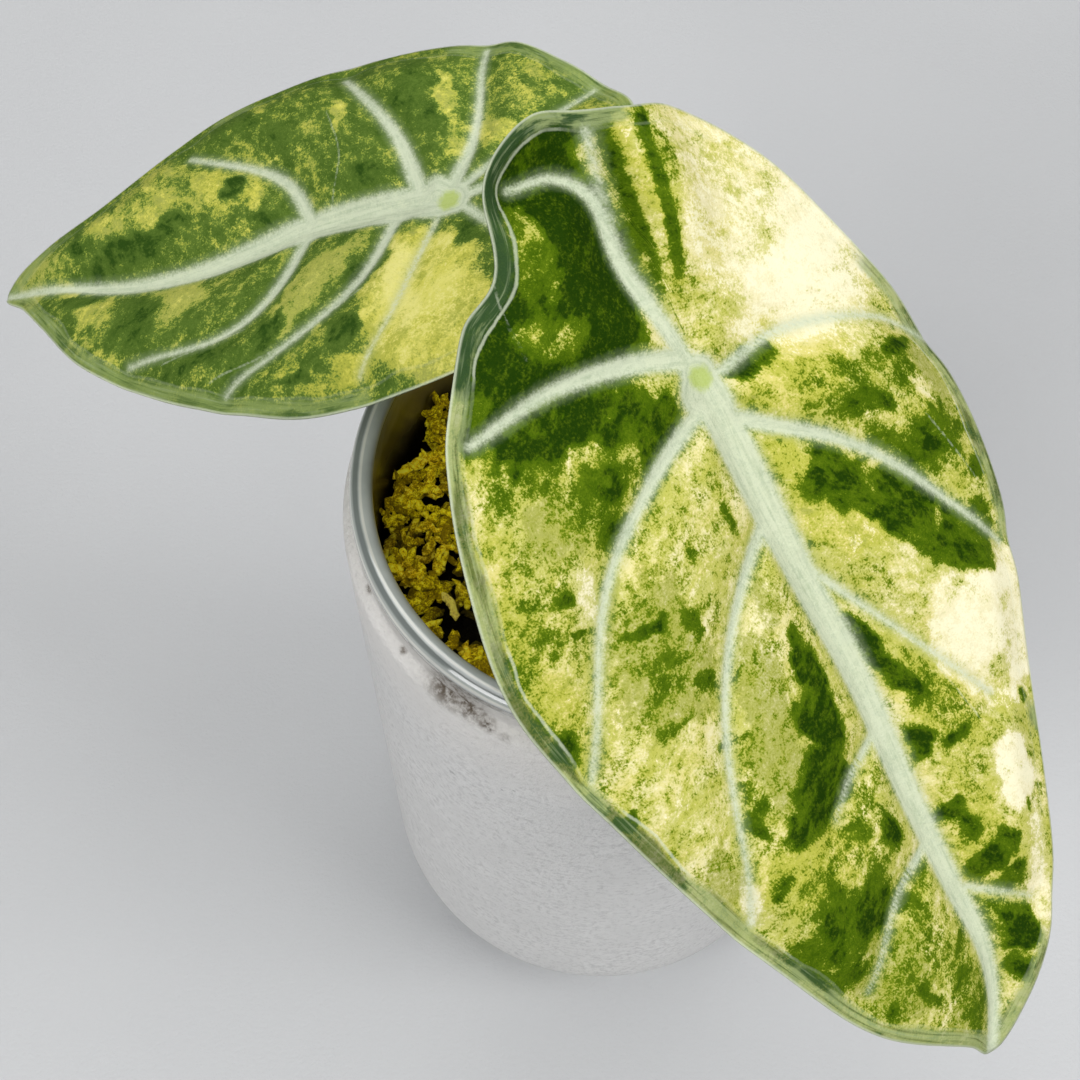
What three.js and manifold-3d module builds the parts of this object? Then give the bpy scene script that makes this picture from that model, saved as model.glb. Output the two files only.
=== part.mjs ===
// A small variegated ninja alocasia in a round stone-coated glass pot.
// Millimetres, +Z up. The origin is the middle of the pot's flat underside, and the
// plant is seen from the side of -Y.

import * as THREE from 'three';
import { mergeVertices } from 'three/addons/utils/BufferGeometryUtils.js';
import Module from 'manifold-3d';

const wasm = await Module();
wasm.setup();

// Driving dimensions

const CLEAR = 0.3; // gap between pieces that touch

const POT = {
  height: 108,
  bodyRadius: 30, // just above the rounded foot
  shoulderRadius: 30.4, // widest, under the lip
  shoulderZ: 101,
  footRadius: 17, // rounding between underside and wall
  lipOuter: 28.9,
  lipInner: 26.9,
  lipZ: 105.2, // where the bare glass lip leaves the coated shoulder
  boreRadius: 26.8,
  floor: 6, // thickness of the glass under the mix
  boreCorner: 12,
  sides: 44,
};

const MIX_TOP = 90; // level of the potting mix
const MOSS = {
  thickness: 3.2, // of the matted layer
  lump: 1.1, // how far its surface rolls up and down
  strands: 66,
  strandLength: [4.2, 7.5],
  strandWidth: [1.5, 2.3],
  seed: 11,
};

const STEM = { radius: 5.4, waist: 4.4, foot: 78, top: 99, sides: 20 };

const PETIOLE_RADIUS = { foot: 1.9, top: 1.35 };

const BLADE = {
  thickness: 1, // along the blade's own normal
  alongCells: 30,
  acrossCells: 24,
};

// Each leaf has its own flat frame: u runs from the seat of its stalk to the tip, v to the
// right of that, and the face stands off along the normal. Outline and veins are in
// millimetres of (u, v).

const FRONT = {
  seat: [4.9, -8.1, 140],
  tip: [32.6, -58.7, 104],
  roll: 10, // degrees, about the midrib
  length: 71,
  halfWidth: 26,
  centre: [22, -1.5],
  arch: 4.5, // drop of the tip below a straight midrib
  crown: 1.6, // rise of each half between midrib and margin
  pillow: 0.9, // rise of the panels between the veins
  veinReach: 2.4,
  droop: 1.2, // turn-down of the margin
  wave: 0.6,
  waves: 5,
  wavePhase: 0.5,
  outline: [
    [-23.5, 3], [-22, 8], [-15.5, 14.5], [-7.5, 19], [2.5, 23.5], [13, 25.5], [23, 24.5],
    [32.5, 22.5], [47.5, 18.5], [62, 13], [68, 7.5], [71, 3], [68.5, 0.5], [61.5, -8.5],
    [51, -15], [39, -21], [27.5, -25.5], [18, -28], [8, -27.5], [-0.5, -25.5], [-7, -22],
    [-12, -17.5], [-14.5, -13.5], [-21, -11], [-24.5, -8], [-26, -4], [-25, -0.5],
  ],
  midrib: [[0, 0], [10, 0.6], [20, 1.6], [31, 3], [43, 3.6], [53, 4.6], [59, 5.4], [65, 5], [71, 3]],
  veins: [
    [[-1.5, -0.5], [-10.5, -2], [-18, -1.8], [-20.5, -4], [-21, -8]],
    [[-2.5, 0], [-12, 2.5], [-22, 3.4]],
    [[-2, -1], [-3.5, -6.5], [-4.2, -14], [-3, -22]],
    [[3, -1], [5.8, -9.5], [12.5, -17], [27, -24]],
    [[16, 1], [16.5, -2.5], [27.5, -10], [45.5, -15.5]],
    [[0.5, 2], [-0.5, 9], [2.5, 19.5], [6.5, 24.5]],
    [[5, 2], [12.5, 12], [26.5, 22.5]],
    [[19, 2], [25, 6], [38.5, 15]],
    [[36, 3], [38.5, -2], [41, -5]],
    [[48, 4], [50.5, -1.5], [57, -8]],
    [[53.5, 5], [58.5, 12]],
    [[-22.5, 0.5], [-10, -1]],
  ],
  folds: [ // [vein, height, reach]: the ridge and the cup between the two back lobes
    [1, 3.2, 3.6],
    [0, -2.2, 3.4],
  ],
  notches: [[-13, -17, 1.5, 4]], // [u, v, depth, reach]
};

const REAR = {
  seat: [-17.5, 18.8, 130],
  tip: [-65.8, 16.9, 112],
  roll: 0,
  length: 55.5,
  halfWidth: 21,
  centre: [17, 0],
  arch: 4,
  crown: 1.4,
  pillow: 0.8,
  veinReach: 2.2,
  droop: 1.2,
  wave: 0.5,
  waves: 5,
  wavePhase: 1.5,
  outline: [
    [56, -7], [50, -10.2], [42.5, -13], [35, -17], [28.5, -19.5], [21, -20.8], [14, -22],
    [7, -21.5], [-0.5, -19.8], [-7, -18], [-12, -14], [-16.5, -9.5], [-19, -6], [-17.2, -1],
    [-19, 5], [-17, 10], [-13, 14.5], [-6.5, 18.3], [1, 20], [9, 20.6], [17, 20.6],
    [26.5, 17.5], [34, 13.6], [43, 7.4], [48.5, 1], [52.5, -3.6],
  ],
  midrib: [[0, 0], [8, -1.5], [16, -2.3], [22, -1.5], [28, -0.6], [37, -1.8], [46, -5], [56, -7]],
  veins: [
    [[3, -1], [5.5, -9], [12, -19.5]],
    [[0, -1], [-2.5, -6.5], [-4, -18]],
    [[15, -2], [18, -7], [30, -14.5]],
    [[16, -2], [20.5, 6], [37, 9.5]],
    [[5, -1], [9.5, 8], [24.5, 16.5]],
    [[1, 1], [4, 8.5], [5.5, 18]],
    [[-1, -1], [-10, -6], [-15, -9.5]],
    [[-1, 1], [-8, 8], [-13, 11]],
    [[-1, 0], [-17, -1]],
  ],
  folds: [[8, 1.6, 4]],
  notches: [],
};

// Small helpers

const vector = (p) => new THREE.Vector3(...p);
const smooth = (x, low, high) => THREE.MathUtils.smoothstep(x, low, high);
const bell = (distance, reach) => Math.exp(-((distance / reach) ** 2));

function finish(name, geometry, colour, roughness, metalness = 0) {
  const material = new THREE.MeshStandardMaterial({ color: colour, roughness, metalness });
  const mesh = new THREE.Mesh(geometry, material);
  mesh.name = name;
  return mesh;
}

function seededRandom(seed) {
  let state = seed;
  return () => {
    state = (state * 16807) % 2147483647;
    return state / 2147483647;
  };
}

function toSolid(geometry) {
  const bare = geometry.clone();
  bare.deleteAttribute('normal');
  bare.deleteAttribute('uv');
  const merged = mergeVertices(bare, 1e-4);
  return new wasm.Manifold(new wasm.Mesh({
    numProp: 3,
    vertProperties: new Float32Array(merged.attributes.position.array),
    triVerts: new Uint32Array(merged.index.array),
  }));
}

function toGeometry(solid) {
  const mesh = solid.getMesh();
  const geometry = new THREE.BufferGeometry();
  geometry.setAttribute('position', new THREE.BufferAttribute(new Float32Array(mesh.vertProperties), 3));
  geometry.setIndex(Array.from(mesh.triVerts));
  geometry.computeVertexNormals();
  return geometry;
}

// Drops the scraps that a cut can leave beside a solid.
function largest(solid) {
  return solid.decompose().sort((a, b) => b.volume() - a.volume())[0];
}

function arc(centre, radius, fromDegrees, toDegrees, steps) {
  return Array.from({ length: steps + 1 }, (_, i) => {
    const angle = THREE.MathUtils.degToRad(fromDegrees + ((toDegrees - fromDegrees) * i) / steps);
    return [centre[0] + radius * Math.cos(angle), centre[1] + radius * Math.sin(angle)];
  });
}

// Turns a profile of [radius, height] about the Z axis.
function turned(profile, sides) {
  const points = profile.map(([radius, height]) => new THREE.Vector2(radius, height));
  return new THREE.LatheGeometry(points, sides).rotateX(Math.PI / 2);
}

function upright(radius, low, high, sides) {
  return turned([[0, low], [radius, low], [radius, high], [0, high]], sides);
}

// The pot: a thick glass tumbler with a big rounded foot and a bare, rounded lip

function boreProfile(inset) {
  const radius = POT.boreRadius - inset;
  const corner = POT.boreCorner;
  const floor = POT.floor + inset;
  return arc([radius - corner, floor + corner], corner, 0, -90, 5);
}

function potGeometry() {
  const { bodyRadius, shoulderRadius, shoulderZ, footRadius, lipOuter, lipInner, lipZ } = POT;
  const lipRound = (lipOuter - lipInner) / 2;
  const lipMiddle = lipInner + lipRound;
  return turned([
    [0, 0],
    ...arc([bodyRadius - footRadius, footRadius], footRadius, -90, 0, 7),
    [bodyRadius, POT.height / 2],
    [shoulderRadius, shoulderZ],
    [shoulderRadius - 0.5, shoulderZ + 2.6],
    [lipOuter, lipZ - 0.4],
    [lipOuter - 0.3, lipZ],
    [lipOuter, lipZ + 0.6],
    ...arc([lipMiddle, POT.height - lipRound], lipRound, 0, 180, 6),
    [POT.boreRadius, lipZ - 1],
    ...boreProfile(0),
    [0, POT.floor],
  ], POT.sides);
}

// The filling: dark potting mix, and a layer of matted moss over it

const FILL_RADIUS = POT.boreRadius - CLEAR;
const stemHole = () => toSolid(upright(STEM.radius + CLEAR, STEM.foot - CLEAR, POT.height, STEM.sides));

function mixGeometry() {
  const filling = turned([
    [0, POT.floor + CLEAR],
    ...boreProfile(CLEAR).reverse(),
    [FILL_RADIUS, MIX_TOP],
    [0, MIX_TOP],
  ], POT.sides);
  return toGeometry(toSolid(filling).subtract(stemHole()));
}

// Height of the moss layer's rolling surface
function mossTop(x, y) {
  const roll = Math.sin(0.34 * x + 1) * Math.cos(0.29 * y - 0.4) + 0.5 * Math.sin(0.61 * (x - y));
  return MIX_TOP + MOSS.thickness + MOSS.lump * roll;
}

function mossLayer() {
  const rings = 5;
  const layer = turned([
    [0, MIX_TOP + CLEAR],
    [FILL_RADIUS, MIX_TOP + CLEAR],
    ...Array.from({ length: rings }, (_, i) => [FILL_RADIUS * (1 - i / rings), POT.height]),
    [0, POT.height],
  ], 24);
  const place = layer.attributes.position;
  for (let i = 0; i < place.count; i += 1) {
    if (place.getZ(i) > MIX_TOP + 1) place.setZ(i, mossTop(place.getX(i), place.getY(i)));
  }
  return toSolid(layer);
}

// A strand is a long eight-sided lozenge lying in the surface, half sunk
function mossStrand(random) {
  const between = ([low, high]) => low + (high - low) * random();
  const length = between(MOSS.strandLength);
  const width = between(MOSS.strandWidth);
  const reach = FILL_RADIUS * Math.sqrt(random());
  const turn = 2 * Math.PI * random();
  const [x, y] = [reach * Math.cos(turn), reach * Math.sin(turn)];
  const strand = new THREE.OctahedronGeometry(1);
  strand.scale(length / 2, width / 2, width / 2);
  strand.rotateX(Math.PI * random());
  strand.rotateY(0.7 * (random() - 0.5));
  strand.rotateZ(2 * Math.PI * random());
  strand.translate(x, y, mossTop(x, y) + 0.1 * width);
  return toSolid(strand);
}

function mossGeometry() {
  const random = seededRandom(MOSS.seed);
  let moss = mossLayer();
  for (let i = 0; i < MOSS.strands; i += 1) moss = moss.add(mossStrand(random));
  const inside = toSolid(upright(FILL_RADIUS, MIX_TOP + CLEAR, POT.height, POT.sides));
  return toGeometry(largest(moss.intersect(inside).subtract(stemHole())));
}

// The leaves

function curveThrough(points, closed = false, steps = 10) {
  const flat = points.map(([u, v]) => new THREE.Vector3(u, v, 0));
  const curve = new THREE.CatmullRomCurve3(flat, closed, 'centripetal');
  return curve.getPoints(steps * points.length).map((p) => [p.x, p.y]);
}

function distanceTo(line, u, v) {
  let nearest = Infinity;
  for (let i = 1; i < line.length; i += 1) {
    const [au, av] = line[i - 1];
    const [bu, bv] = [line[i][0] - au, line[i][1] - av];
    const along = ((u - au) * bu + (v - av) * bv) / (bu * bu + bv * bv || 1);
    const part = THREE.MathUtils.clamp(along, 0, 1);
    nearest = Math.min(nearest, Math.hypot(u - au - part * bu, v - av - part * bv));
  }
  return nearest;
}

function leafFrame(leaf) {
  const seat = vector(leaf.seat);
  const along = vector(leaf.tip).sub(seat).normalize();
  const up = new THREE.Vector3(0, 0, 1);
  const normal = up.sub(along.clone().multiplyScalar(up.dot(along))).normalize();
  normal.applyAxisAngle(along, -THREE.MathUtils.degToRad(leaf.roll));
  const right = normal.clone().cross(along);
  return { seat, along, right, normal };
}

// Radius of the outline, seen from the leaf's centre, as a function of the angle
function outlineRadius(leaf) {
  const polar = curveThrough(leaf.outline, true).slice(0, -1).map(([u, v]) => {
    const [du, dv] = [u - leaf.centre[0], v - leaf.centre[1]];
    return [Math.atan2(dv, du), Math.hypot(du, dv)];
  }).sort((a, b) => a[0] - b[0]);
  const turn = 2 * Math.PI;
  const [first, last] = [polar[0], polar[polar.length - 1]];
  const ring = [[last[0] - turn, last[1]], ...polar, [first[0] + turn, first[1]]];
  return (angle) => {
    const i = ring.findIndex(([at]) => at >= angle);
    const [a, b] = [ring[i - 1], ring[i]];
    return a[1] + ((b[1] - a[1]) * (angle - a[0])) / (b[0] - a[0] || 1);
  };
}

// Stand-off of the leaf's face from its flat frame
function leafHeight(leaf) {
  const radiusAt = outlineRadius(leaf);
  const midrib = curveThrough(leaf.midrib);
  const veins = leaf.veins.map((points) => curveThrough(points));
  const midribV = (u) => {
    const i = midrib.findIndex(([at]) => at >= u);
    return u > 0 && i > 0 ? midrib[i][1] : 0;
  };
  return (u, v) => {
    const [du, dv] = [u - leaf.centre[0], v - leaf.centre[1]];
    const angle = Math.atan2(dv, du);
    const rim = Math.hypot(du, dv) / radiusAt(angle);
    const half = Math.min(Math.abs(v - midribV(u)) / leaf.halfWidth, 1);
    let height = -leaf.arch * (Math.max(u, 0) / leaf.length) ** 2;
    height += leaf.crown * Math.sin(Math.PI * half) * smooth(u, -4, 8);
    for (const [vein, rise, reach] of leaf.folds) {
      height += rise * bell(distanceTo(veins[vein], u, v), reach) * smooth(-u, 0, 16);
    }
    const nearest = Math.min(...[midrib, ...veins].map((line) => distanceTo(line, u, v)));
    height += leaf.pillow * (1 - bell(nearest, leaf.veinReach));
    height -= leaf.droop * smooth(rim, 0.8, 1);
    height += leaf.wave * Math.sin(leaf.waves * angle + leaf.wavePhase) * smooth(rim, 0.7, 1);
    for (const [nu, nv, depth, reach] of leaf.notches) {
      height -= depth * bell(Math.hypot(u - nu, v - nv), reach);
    }
    return height;
  };
}

// A square grid is drawn out to a disc, and the disc to the leaf's outline, with the
// middle of one side on the tip. Both faces share its triangles.
function bladeGeometry(leaf) {
  const { seat, along, right, normal } = leafFrame(leaf);
  const radiusAt = outlineRadius(leaf);
  const heightAt = leafHeight(leaf);
  const [nu, nv] = [BLADE.alongCells, BLADE.acrossCells];
  const tip = leaf.midrib[leaf.midrib.length - 1];
  const heading = Math.atan2(tip[1] - leaf.centre[1], tip[0] - leaf.centre[0]);
  const faces = [[], []];
  for (let j = 0; j <= nv; j += 1) {
    for (let i = 0; i <= nu; i += 1) {
      const [x, y] = [(2 * i) / nu - 1, (2 * j) / nv - 1];
      const [dx, dy] = [x * Math.sqrt(1 - (y * y) / 2), y * Math.sqrt(1 - (x * x) / 2)];
      let angle = Math.atan2(dy, dx) + heading;
      if (angle > Math.PI) angle -= 2 * Math.PI;
      if (angle <= -Math.PI) angle += 2 * Math.PI;
      const reach = Math.hypot(dx, dy) * radiusAt(angle);
      const u = leaf.centre[0] + reach * Math.cos(angle);
      const v = leaf.centre[1] + reach * Math.sin(angle);
      const top = seat.clone().addScaledVector(along, u).addScaledVector(right, v)
        .addScaledVector(normal, heightAt(u, v));
      faces[0].push(top);
      faces[1].push(top.clone().addScaledVector(normal, -BLADE.thickness));
    }
  }
  const under = faces[0].length;
  const at = (i, j) => j * (nu + 1) + i;
  const triangles = [];
  for (let j = 0; j < nv; j += 1) {
    for (let i = 0; i < nu; i += 1) {
      const [a, b, c, d] = [at(i, j), at(i + 1, j), at(i + 1, j + 1), at(i, j + 1)];
      for (const [p, q, r] of [[a, b, c], [a, c, d]]) {
        triangles.push(p, q, r, under + p, under + r, under + q);
      }
    }
  }
  const rim = [];
  for (let i = 0; i < nu; i += 1) rim.push(at(i, 0));
  for (let j = 0; j < nv; j += 1) rim.push(at(nu, j));
  for (let i = nu; i > 0; i -= 1) rim.push(at(i, nv));
  for (let j = nv; j > 0; j -= 1) rim.push(at(0, j));
  rim.forEach((p, k) => {
    const q = rim[(k + 1) % rim.length];
    triangles.push(p, under + p, under + q, p, under + q, q);
  });
  const geometry = new THREE.BufferGeometry();
  const corners = faces.flat().flatMap((p) => [p.x, p.y, p.z]);
  geometry.setAttribute('position', new THREE.Float32BufferAttribute(corners, 3));
  geometry.setIndex(triangles);
  geometry.computeVertexNormals();
  return geometry;
}

// The stem and the leaf stalks

// Centre line of a stalk, from its foot in the stem to just under the leaf's seat, where it
// ends square to the blade.
function stalkCurve(leaf, route) {
  const { seat, normal } = leafFrame(leaf);
  const end = seat.clone().addScaledVector(normal, -BLADE.thickness - CLEAR);
  const before = end.clone().addScaledVector(normal, -4);
  return new THREE.CatmullRomCurve3([...route.map(vector), before, end], false, 'centripetal');
}

function stalkGeometry(curve, extra = 0) {
  const steps = 22;
  const section = new THREE.Shape().absarc(0, 0, 1, 0, 2 * Math.PI);
  const tube = new THREE.ExtrudeGeometry(section, { steps, curveSegments: 5, extrudePath: curve });
  const middles = curve.getSpacedPoints(steps);
  const place = tube.attributes.position;
  const point = new THREE.Vector3();
  for (let i = 0; i < place.count; i += 1) {
    point.fromBufferAttribute(place, i);
    let nearest = 0;
    middles.forEach((m, k) => {
      if (m.distanceTo(point) < middles[nearest].distanceTo(point)) nearest = k;
    });
    const { foot, top } = PETIOLE_RADIUS;
    const radius = THREE.MathUtils.lerp(foot, top, Math.min((1.6 * nearest) / steps, 1)) + extra;
    point.sub(middles[nearest]).multiplyScalar(radius).add(middles[nearest]);
    place.setXYZ(i, point.x, point.y, point.z);
  }
  return tube;
}

const FRONT_ROUTE = [[2.4, -1, 88], [2.7, -1, 96], [2.2, 0.2, 112], [1.6, -2.2, 128]];
const REAR_ROUTE = [[-2.4, 1, 88], [-2.9, 1.4, 96], [-6.5, 6.5, 110], [-13, 15.5, 122]];
const frontStalk = stalkCurve(FRONT, FRONT_ROUTE);
const rearStalk = stalkCurve(REAR, REAR_ROUTE);

function stemGeometry() {
  const { radius, waist, foot, top } = STEM;
  const stem = turned([
    [0, foot], [waist - 1.4, foot], [waist, foot + 1.4], [radius, foot + 8], [radius, top - 8],
    [radius - 0.5, top - 5], [radius - 0.3, top - 3], [radius - 1, top], [0, top],
  ], STEM.sides);
  const sockets = [frontStalk, rearStalk].map((curve) => toSolid(stalkGeometry(curve, CLEAR)));
  const bare = sockets.reduce((solid, socket) => solid.subtract(socket), toSolid(stem));
  return toGeometry(bare);
}

// The plant in its pot

const plant = new THREE.Group();
plant.add(
  finish('pot', potGeometry(), 0xc8c6c4, 0.75),
  finish('potting_mix', mixGeometry(), 0x1b1712, 0.95),
  finish('moss', mossGeometry(), 0x7d6a16, 0.95),
  finish('stem_base', stemGeometry(), 0x6f7a3a, 0.6),
  finish('petiole_front', stalkGeometry(frontStalk), 0x9dbb4a, 0.5),
  finish('petiole_rear', stalkGeometry(rearStalk), 0x9dbb4a, 0.5),
  finish('leaf_front', bladeGeometry(FRONT), 0xb4bf6a, 0.6),
  finish('leaf_rear', bladeGeometry(REAR), 0x5f7f3a, 0.6),
);

export default plant;
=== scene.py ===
# %% [markdown]
# # A small variegated alocasia in a stone-coated glass pot
# The solids of the part are already packed. This lesson dresses them: it loads them as a
# fixed frame, replaces each with a finer surface of the same form, and gives every surface a
# finish that is worked out from formulas. All sizes are in millimetres until a mesh is made.

# %% Load the frame
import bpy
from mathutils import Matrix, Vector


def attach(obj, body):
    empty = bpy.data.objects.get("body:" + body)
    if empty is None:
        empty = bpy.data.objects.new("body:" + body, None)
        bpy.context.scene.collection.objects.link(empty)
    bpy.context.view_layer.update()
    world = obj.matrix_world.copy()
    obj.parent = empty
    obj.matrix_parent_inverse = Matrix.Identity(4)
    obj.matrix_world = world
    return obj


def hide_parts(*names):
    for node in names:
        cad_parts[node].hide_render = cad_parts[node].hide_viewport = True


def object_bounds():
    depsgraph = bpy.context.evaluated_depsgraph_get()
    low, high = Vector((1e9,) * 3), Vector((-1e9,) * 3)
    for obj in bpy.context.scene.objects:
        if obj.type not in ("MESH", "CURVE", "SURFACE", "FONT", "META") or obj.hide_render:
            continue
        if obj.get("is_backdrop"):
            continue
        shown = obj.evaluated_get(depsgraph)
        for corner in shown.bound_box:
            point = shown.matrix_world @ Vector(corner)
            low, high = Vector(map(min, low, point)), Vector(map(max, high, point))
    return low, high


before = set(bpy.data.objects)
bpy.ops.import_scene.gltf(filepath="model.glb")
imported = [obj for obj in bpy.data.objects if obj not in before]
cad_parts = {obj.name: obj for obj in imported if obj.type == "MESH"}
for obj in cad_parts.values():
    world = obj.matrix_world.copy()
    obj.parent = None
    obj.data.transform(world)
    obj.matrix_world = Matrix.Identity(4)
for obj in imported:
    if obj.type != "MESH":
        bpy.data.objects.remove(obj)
cad_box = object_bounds()

from types import SimpleNamespace

import bmesh
import bpy
import numpy as np

MM = 0.001
print("frame:", sorted(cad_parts), "box", cad_box)

# %% [markdown]
# ## Camera, floor and light
# The photograph looks steeply down, so the whole picture is filled by the bench top. The
# camera's place was worked out from the round rim and the pot's straight sides: 63 degrees
# down, about 19 cm from the middle of the rim, with a 60 mm lens on a 36 mm sensor.

# %% Camera
CAMERA_PLACE = np.array([-8.8, -92.15, 272.3])
CAMERA_DOWN = 62.8  # degrees below level, looking along +Y
LENS, SENSOR = 60.0, 36.0
CLIP_NEAR, CLIP_FAR = 0.01, 10  # in metres

camera_data = bpy.data.cameras.new("camera")
camera_data.lens, camera_data.sensor_width = LENS, SENSOR
camera_data.clip_start, camera_data.clip_end = CLIP_NEAR, CLIP_FAR
camera = bpy.data.objects.new("camera", camera_data)
camera.location = CAMERA_PLACE * MM
camera.rotation_euler = (np.radians(90 - CAMERA_DOWN), 0, 0)
scene = bpy.context.scene
scene.collection.objects.link(camera)
scene.camera = camera
scene.view_settings.view_transform = "Standard"
print("camera at", CAMERA_PLACE, "mm")

# %% [markdown]
# ## Helpers for shapes
# Every new piece is a surface over a grid of two parameters. `grid_faces` joins a grid's
# points to quads, `surface` writes whole arrays into a mesh and closes its poles, and the
# object stays at the origin with its place in its points.


# %% Shape helpers
SAME_POINT = 0.0005  # points nearer than this, in mm, are one
NEARLY_UP = [0.31, 0.17, 0.94]  # a direction that no stalk runs along


def smooth(x, low, high):
    """Nought below low, one above high, and the S-curve 3t^2 - 2t^3 between."""
    t = np.clip((x - low) / (high - low), 0, 1)
    return t * t * (3 - 2 * t)


def bell(distance, reach):
    """exp(-(distance / reach)^2)."""
    return np.exp(-((distance / reach) ** 2))


def grid_faces(rows, columns, wrap_columns=False, start=0):
    """Quads between neighbours of a rows x columns grid of points, its rows closed where asked."""
    i = np.arange(rows - 1)[:, None]
    j = np.arange(columns if wrap_columns else columns - 1)[None, :]
    corner = lambda a, b: start + a * columns + b % columns
    quads = np.stack([corner(i, j), corner(i, j + 1), corner(i + 1, j + 1), corner(i + 1, j)], -1)
    return quads.reshape(-1, 4)


def surface(name, points, quads, materials, slots=None, attributes=None):
    """A smooth mesh from points in mm and quads, a material number per quad, equal points merged."""
    mesh = bpy.data.meshes.new(name)
    mesh.vertices.add(len(points))
    mesh.vertices.foreach_set("co", np.asarray(points * MM, np.float32).ravel())
    mesh.loops.add(quads.size)
    mesh.loops.foreach_set("vertex_index", np.asarray(quads, np.int32).ravel())
    mesh.polygons.add(len(quads))
    mesh.polygons.foreach_set("loop_start", np.arange(0, quads.size, 4, dtype=np.int32))
    mesh.polygons.foreach_set("use_smooth", np.ones(len(quads), bool))
    for material in materials:
        mesh.materials.append(material)
    if slots is not None:
        mesh.polygons.foreach_set("material_index", np.asarray(slots, np.int32))
    for key, values in (attributes or {}).items():
        values = np.asarray(values, np.float32)
        kind, field = ("FLOAT_VECTOR", "vector") if values.ndim == 2 else ("FLOAT", "value")
        mesh.attributes.new(key, kind, "POINT").data.foreach_set(field, values.ravel())
    mesh.update(calc_edges=True)
    closed = bmesh.new()
    closed.from_mesh(mesh)
    bmesh.ops.remove_doubles(closed, verts=closed.verts, dist=SAME_POINT * MM)
    closed.to_mesh(mesh)
    closed.free()
    mesh.validate()
    piece = bpy.data.objects.new(name, mesh)
    scene.collection.objects.link(piece)
    return piece


def dress(piece, node):
    """The piece rides on the one body and takes the place of a solid."""
    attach(piece, "root")
    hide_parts(node)


def curve_through(points, closed=False, steps=10):
    """A centripetal Catmull-Rom curve: its tangents weigh each span by the root of its length."""
    p = np.asarray(points, float)
    n = len(p)
    spans = n if closed else n - 1
    t = np.linspace(0, spans, steps * n + 1)
    i = np.minimum(t.astype(int), spans - 1)
    w = (t - i)[:, None]
    if closed:
        a, b, c, d = (p[(i + k) % n] for k in (-1, 0, 1, 2))
    else:
        longer = np.vstack([2 * p[0] - p[1], p, 2 * p[-1] - p[-2]])
        a, b, c, d = (longer[i + k] for k in (0, 1, 2, 3))
    weigh = lambda x, y: np.sqrt(np.linalg.norm(y - x, axis=1))[:, None]
    q0, q1, q2 = weigh(a, b), weigh(b, c), weigh(c, d)
    t1 = ((b - a) / q0 - (c - a) / (q0 + q1) + (c - b) / q1) * q1
    t2 = ((c - b) / q1 - (d - b) / (q1 + q2) + (d - c) / q2) * q1
    return b + t1 * w + (3 * c - 3 * b - 2 * t1 - t2) * w**2 + (2 * b - 2 * c + t1 + t2) * w**3


def distance_to(line, u, v):
    """Distance of each (u, v) to a polyline, and how far along it, 0 to 1, the nearest point is."""
    nearest = np.full(u.shape, np.inf)
    along = np.zeros(u.shape)
    for k, ((au, av), (bu, bv)) in enumerate(zip(line[:-1], line[1:])):
        du, dv = bu - au, bv - av
        part = np.clip(((u - au) * du + (v - av) * dv) / max(du * du + dv * dv, 1e-9), 0, 1)
        away = np.hypot(u - au - part * du, v - av - part * dv)
        closer = away < nearest
        nearest = np.where(closer, away, nearest)
        along = np.where(closer, (k + part) / (len(line) - 1), along)
    return nearest, along


def tube(path, radii, sides):
    """Rings of points round a path: middle + radius * (cos a * side + sin a * up)."""
    ahead = np.gradient(path, axis=0)
    ahead /= np.linalg.norm(ahead, axis=1)[:, None]
    side = np.cross(ahead, NEARLY_UP)
    side /= np.linalg.norm(side, axis=1)[:, None]
    up = np.cross(ahead, side)
    angle = np.linspace(0, 2 * np.pi, sides, endpoint=False)
    ring = np.cos(angle)[None, :, None] * side[:, None] + np.sin(angle)[None, :, None] * up[:, None]
    return (path[:, None] + np.asarray(radii)[:, None, None] * ring).reshape(-1, 3)


print("helpers ready")

# %% [markdown]
# ## Helpers for finishes
# A finish is a formula too. `Finish` starts a material with its named tones, `Field` wraps one
# of its sockets so that plain arithmetic, such as `1 - mask * 0.5`, adds the Math nodes, and
# `lay` puts one more tone over the tint so far, as a painter would.


# %% Finish helpers
class Field:
    """One output socket, with arithmetic."""

    def __init__(self, finish, socket):
        self.finish, self.socket = finish, socket

    def _math(self, operation, *values):
        inputs = dict(enumerate(values))
        node = self.finish.node("ShaderNodeMath", {"operation": operation}, inputs)
        return Field(self.finish, node.outputs[0])

    def __add__(self, other):
        return self._math("ADD", self, other)

    __radd__ = __add__

    def __mul__(self, other):
        return self._math("MULTIPLY", self, other)

    __rmul__ = __mul__

    def __sub__(self, other):
        return self._math("SUBTRACT", self, other)

    def __rsub__(self, other):
        return self._math("SUBTRACT", other, self)

    def __abs__(self):
        return self._math("ABSOLUTE", self)

    def most(self, other):
        return self._math("MAXIMUM", self, other)

    def step(self, low, high):
        """Rises smoothly from 0 at low to 1 at high."""
        inputs = {"Value": self, "From Min": low, "From Max": high}
        node = self.finish.node("ShaderNodeMapRange", {"interpolation_type": "SMOOTHSTEP"}, inputs)
        return Field(self.finish, node.outputs["Result"])


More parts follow.
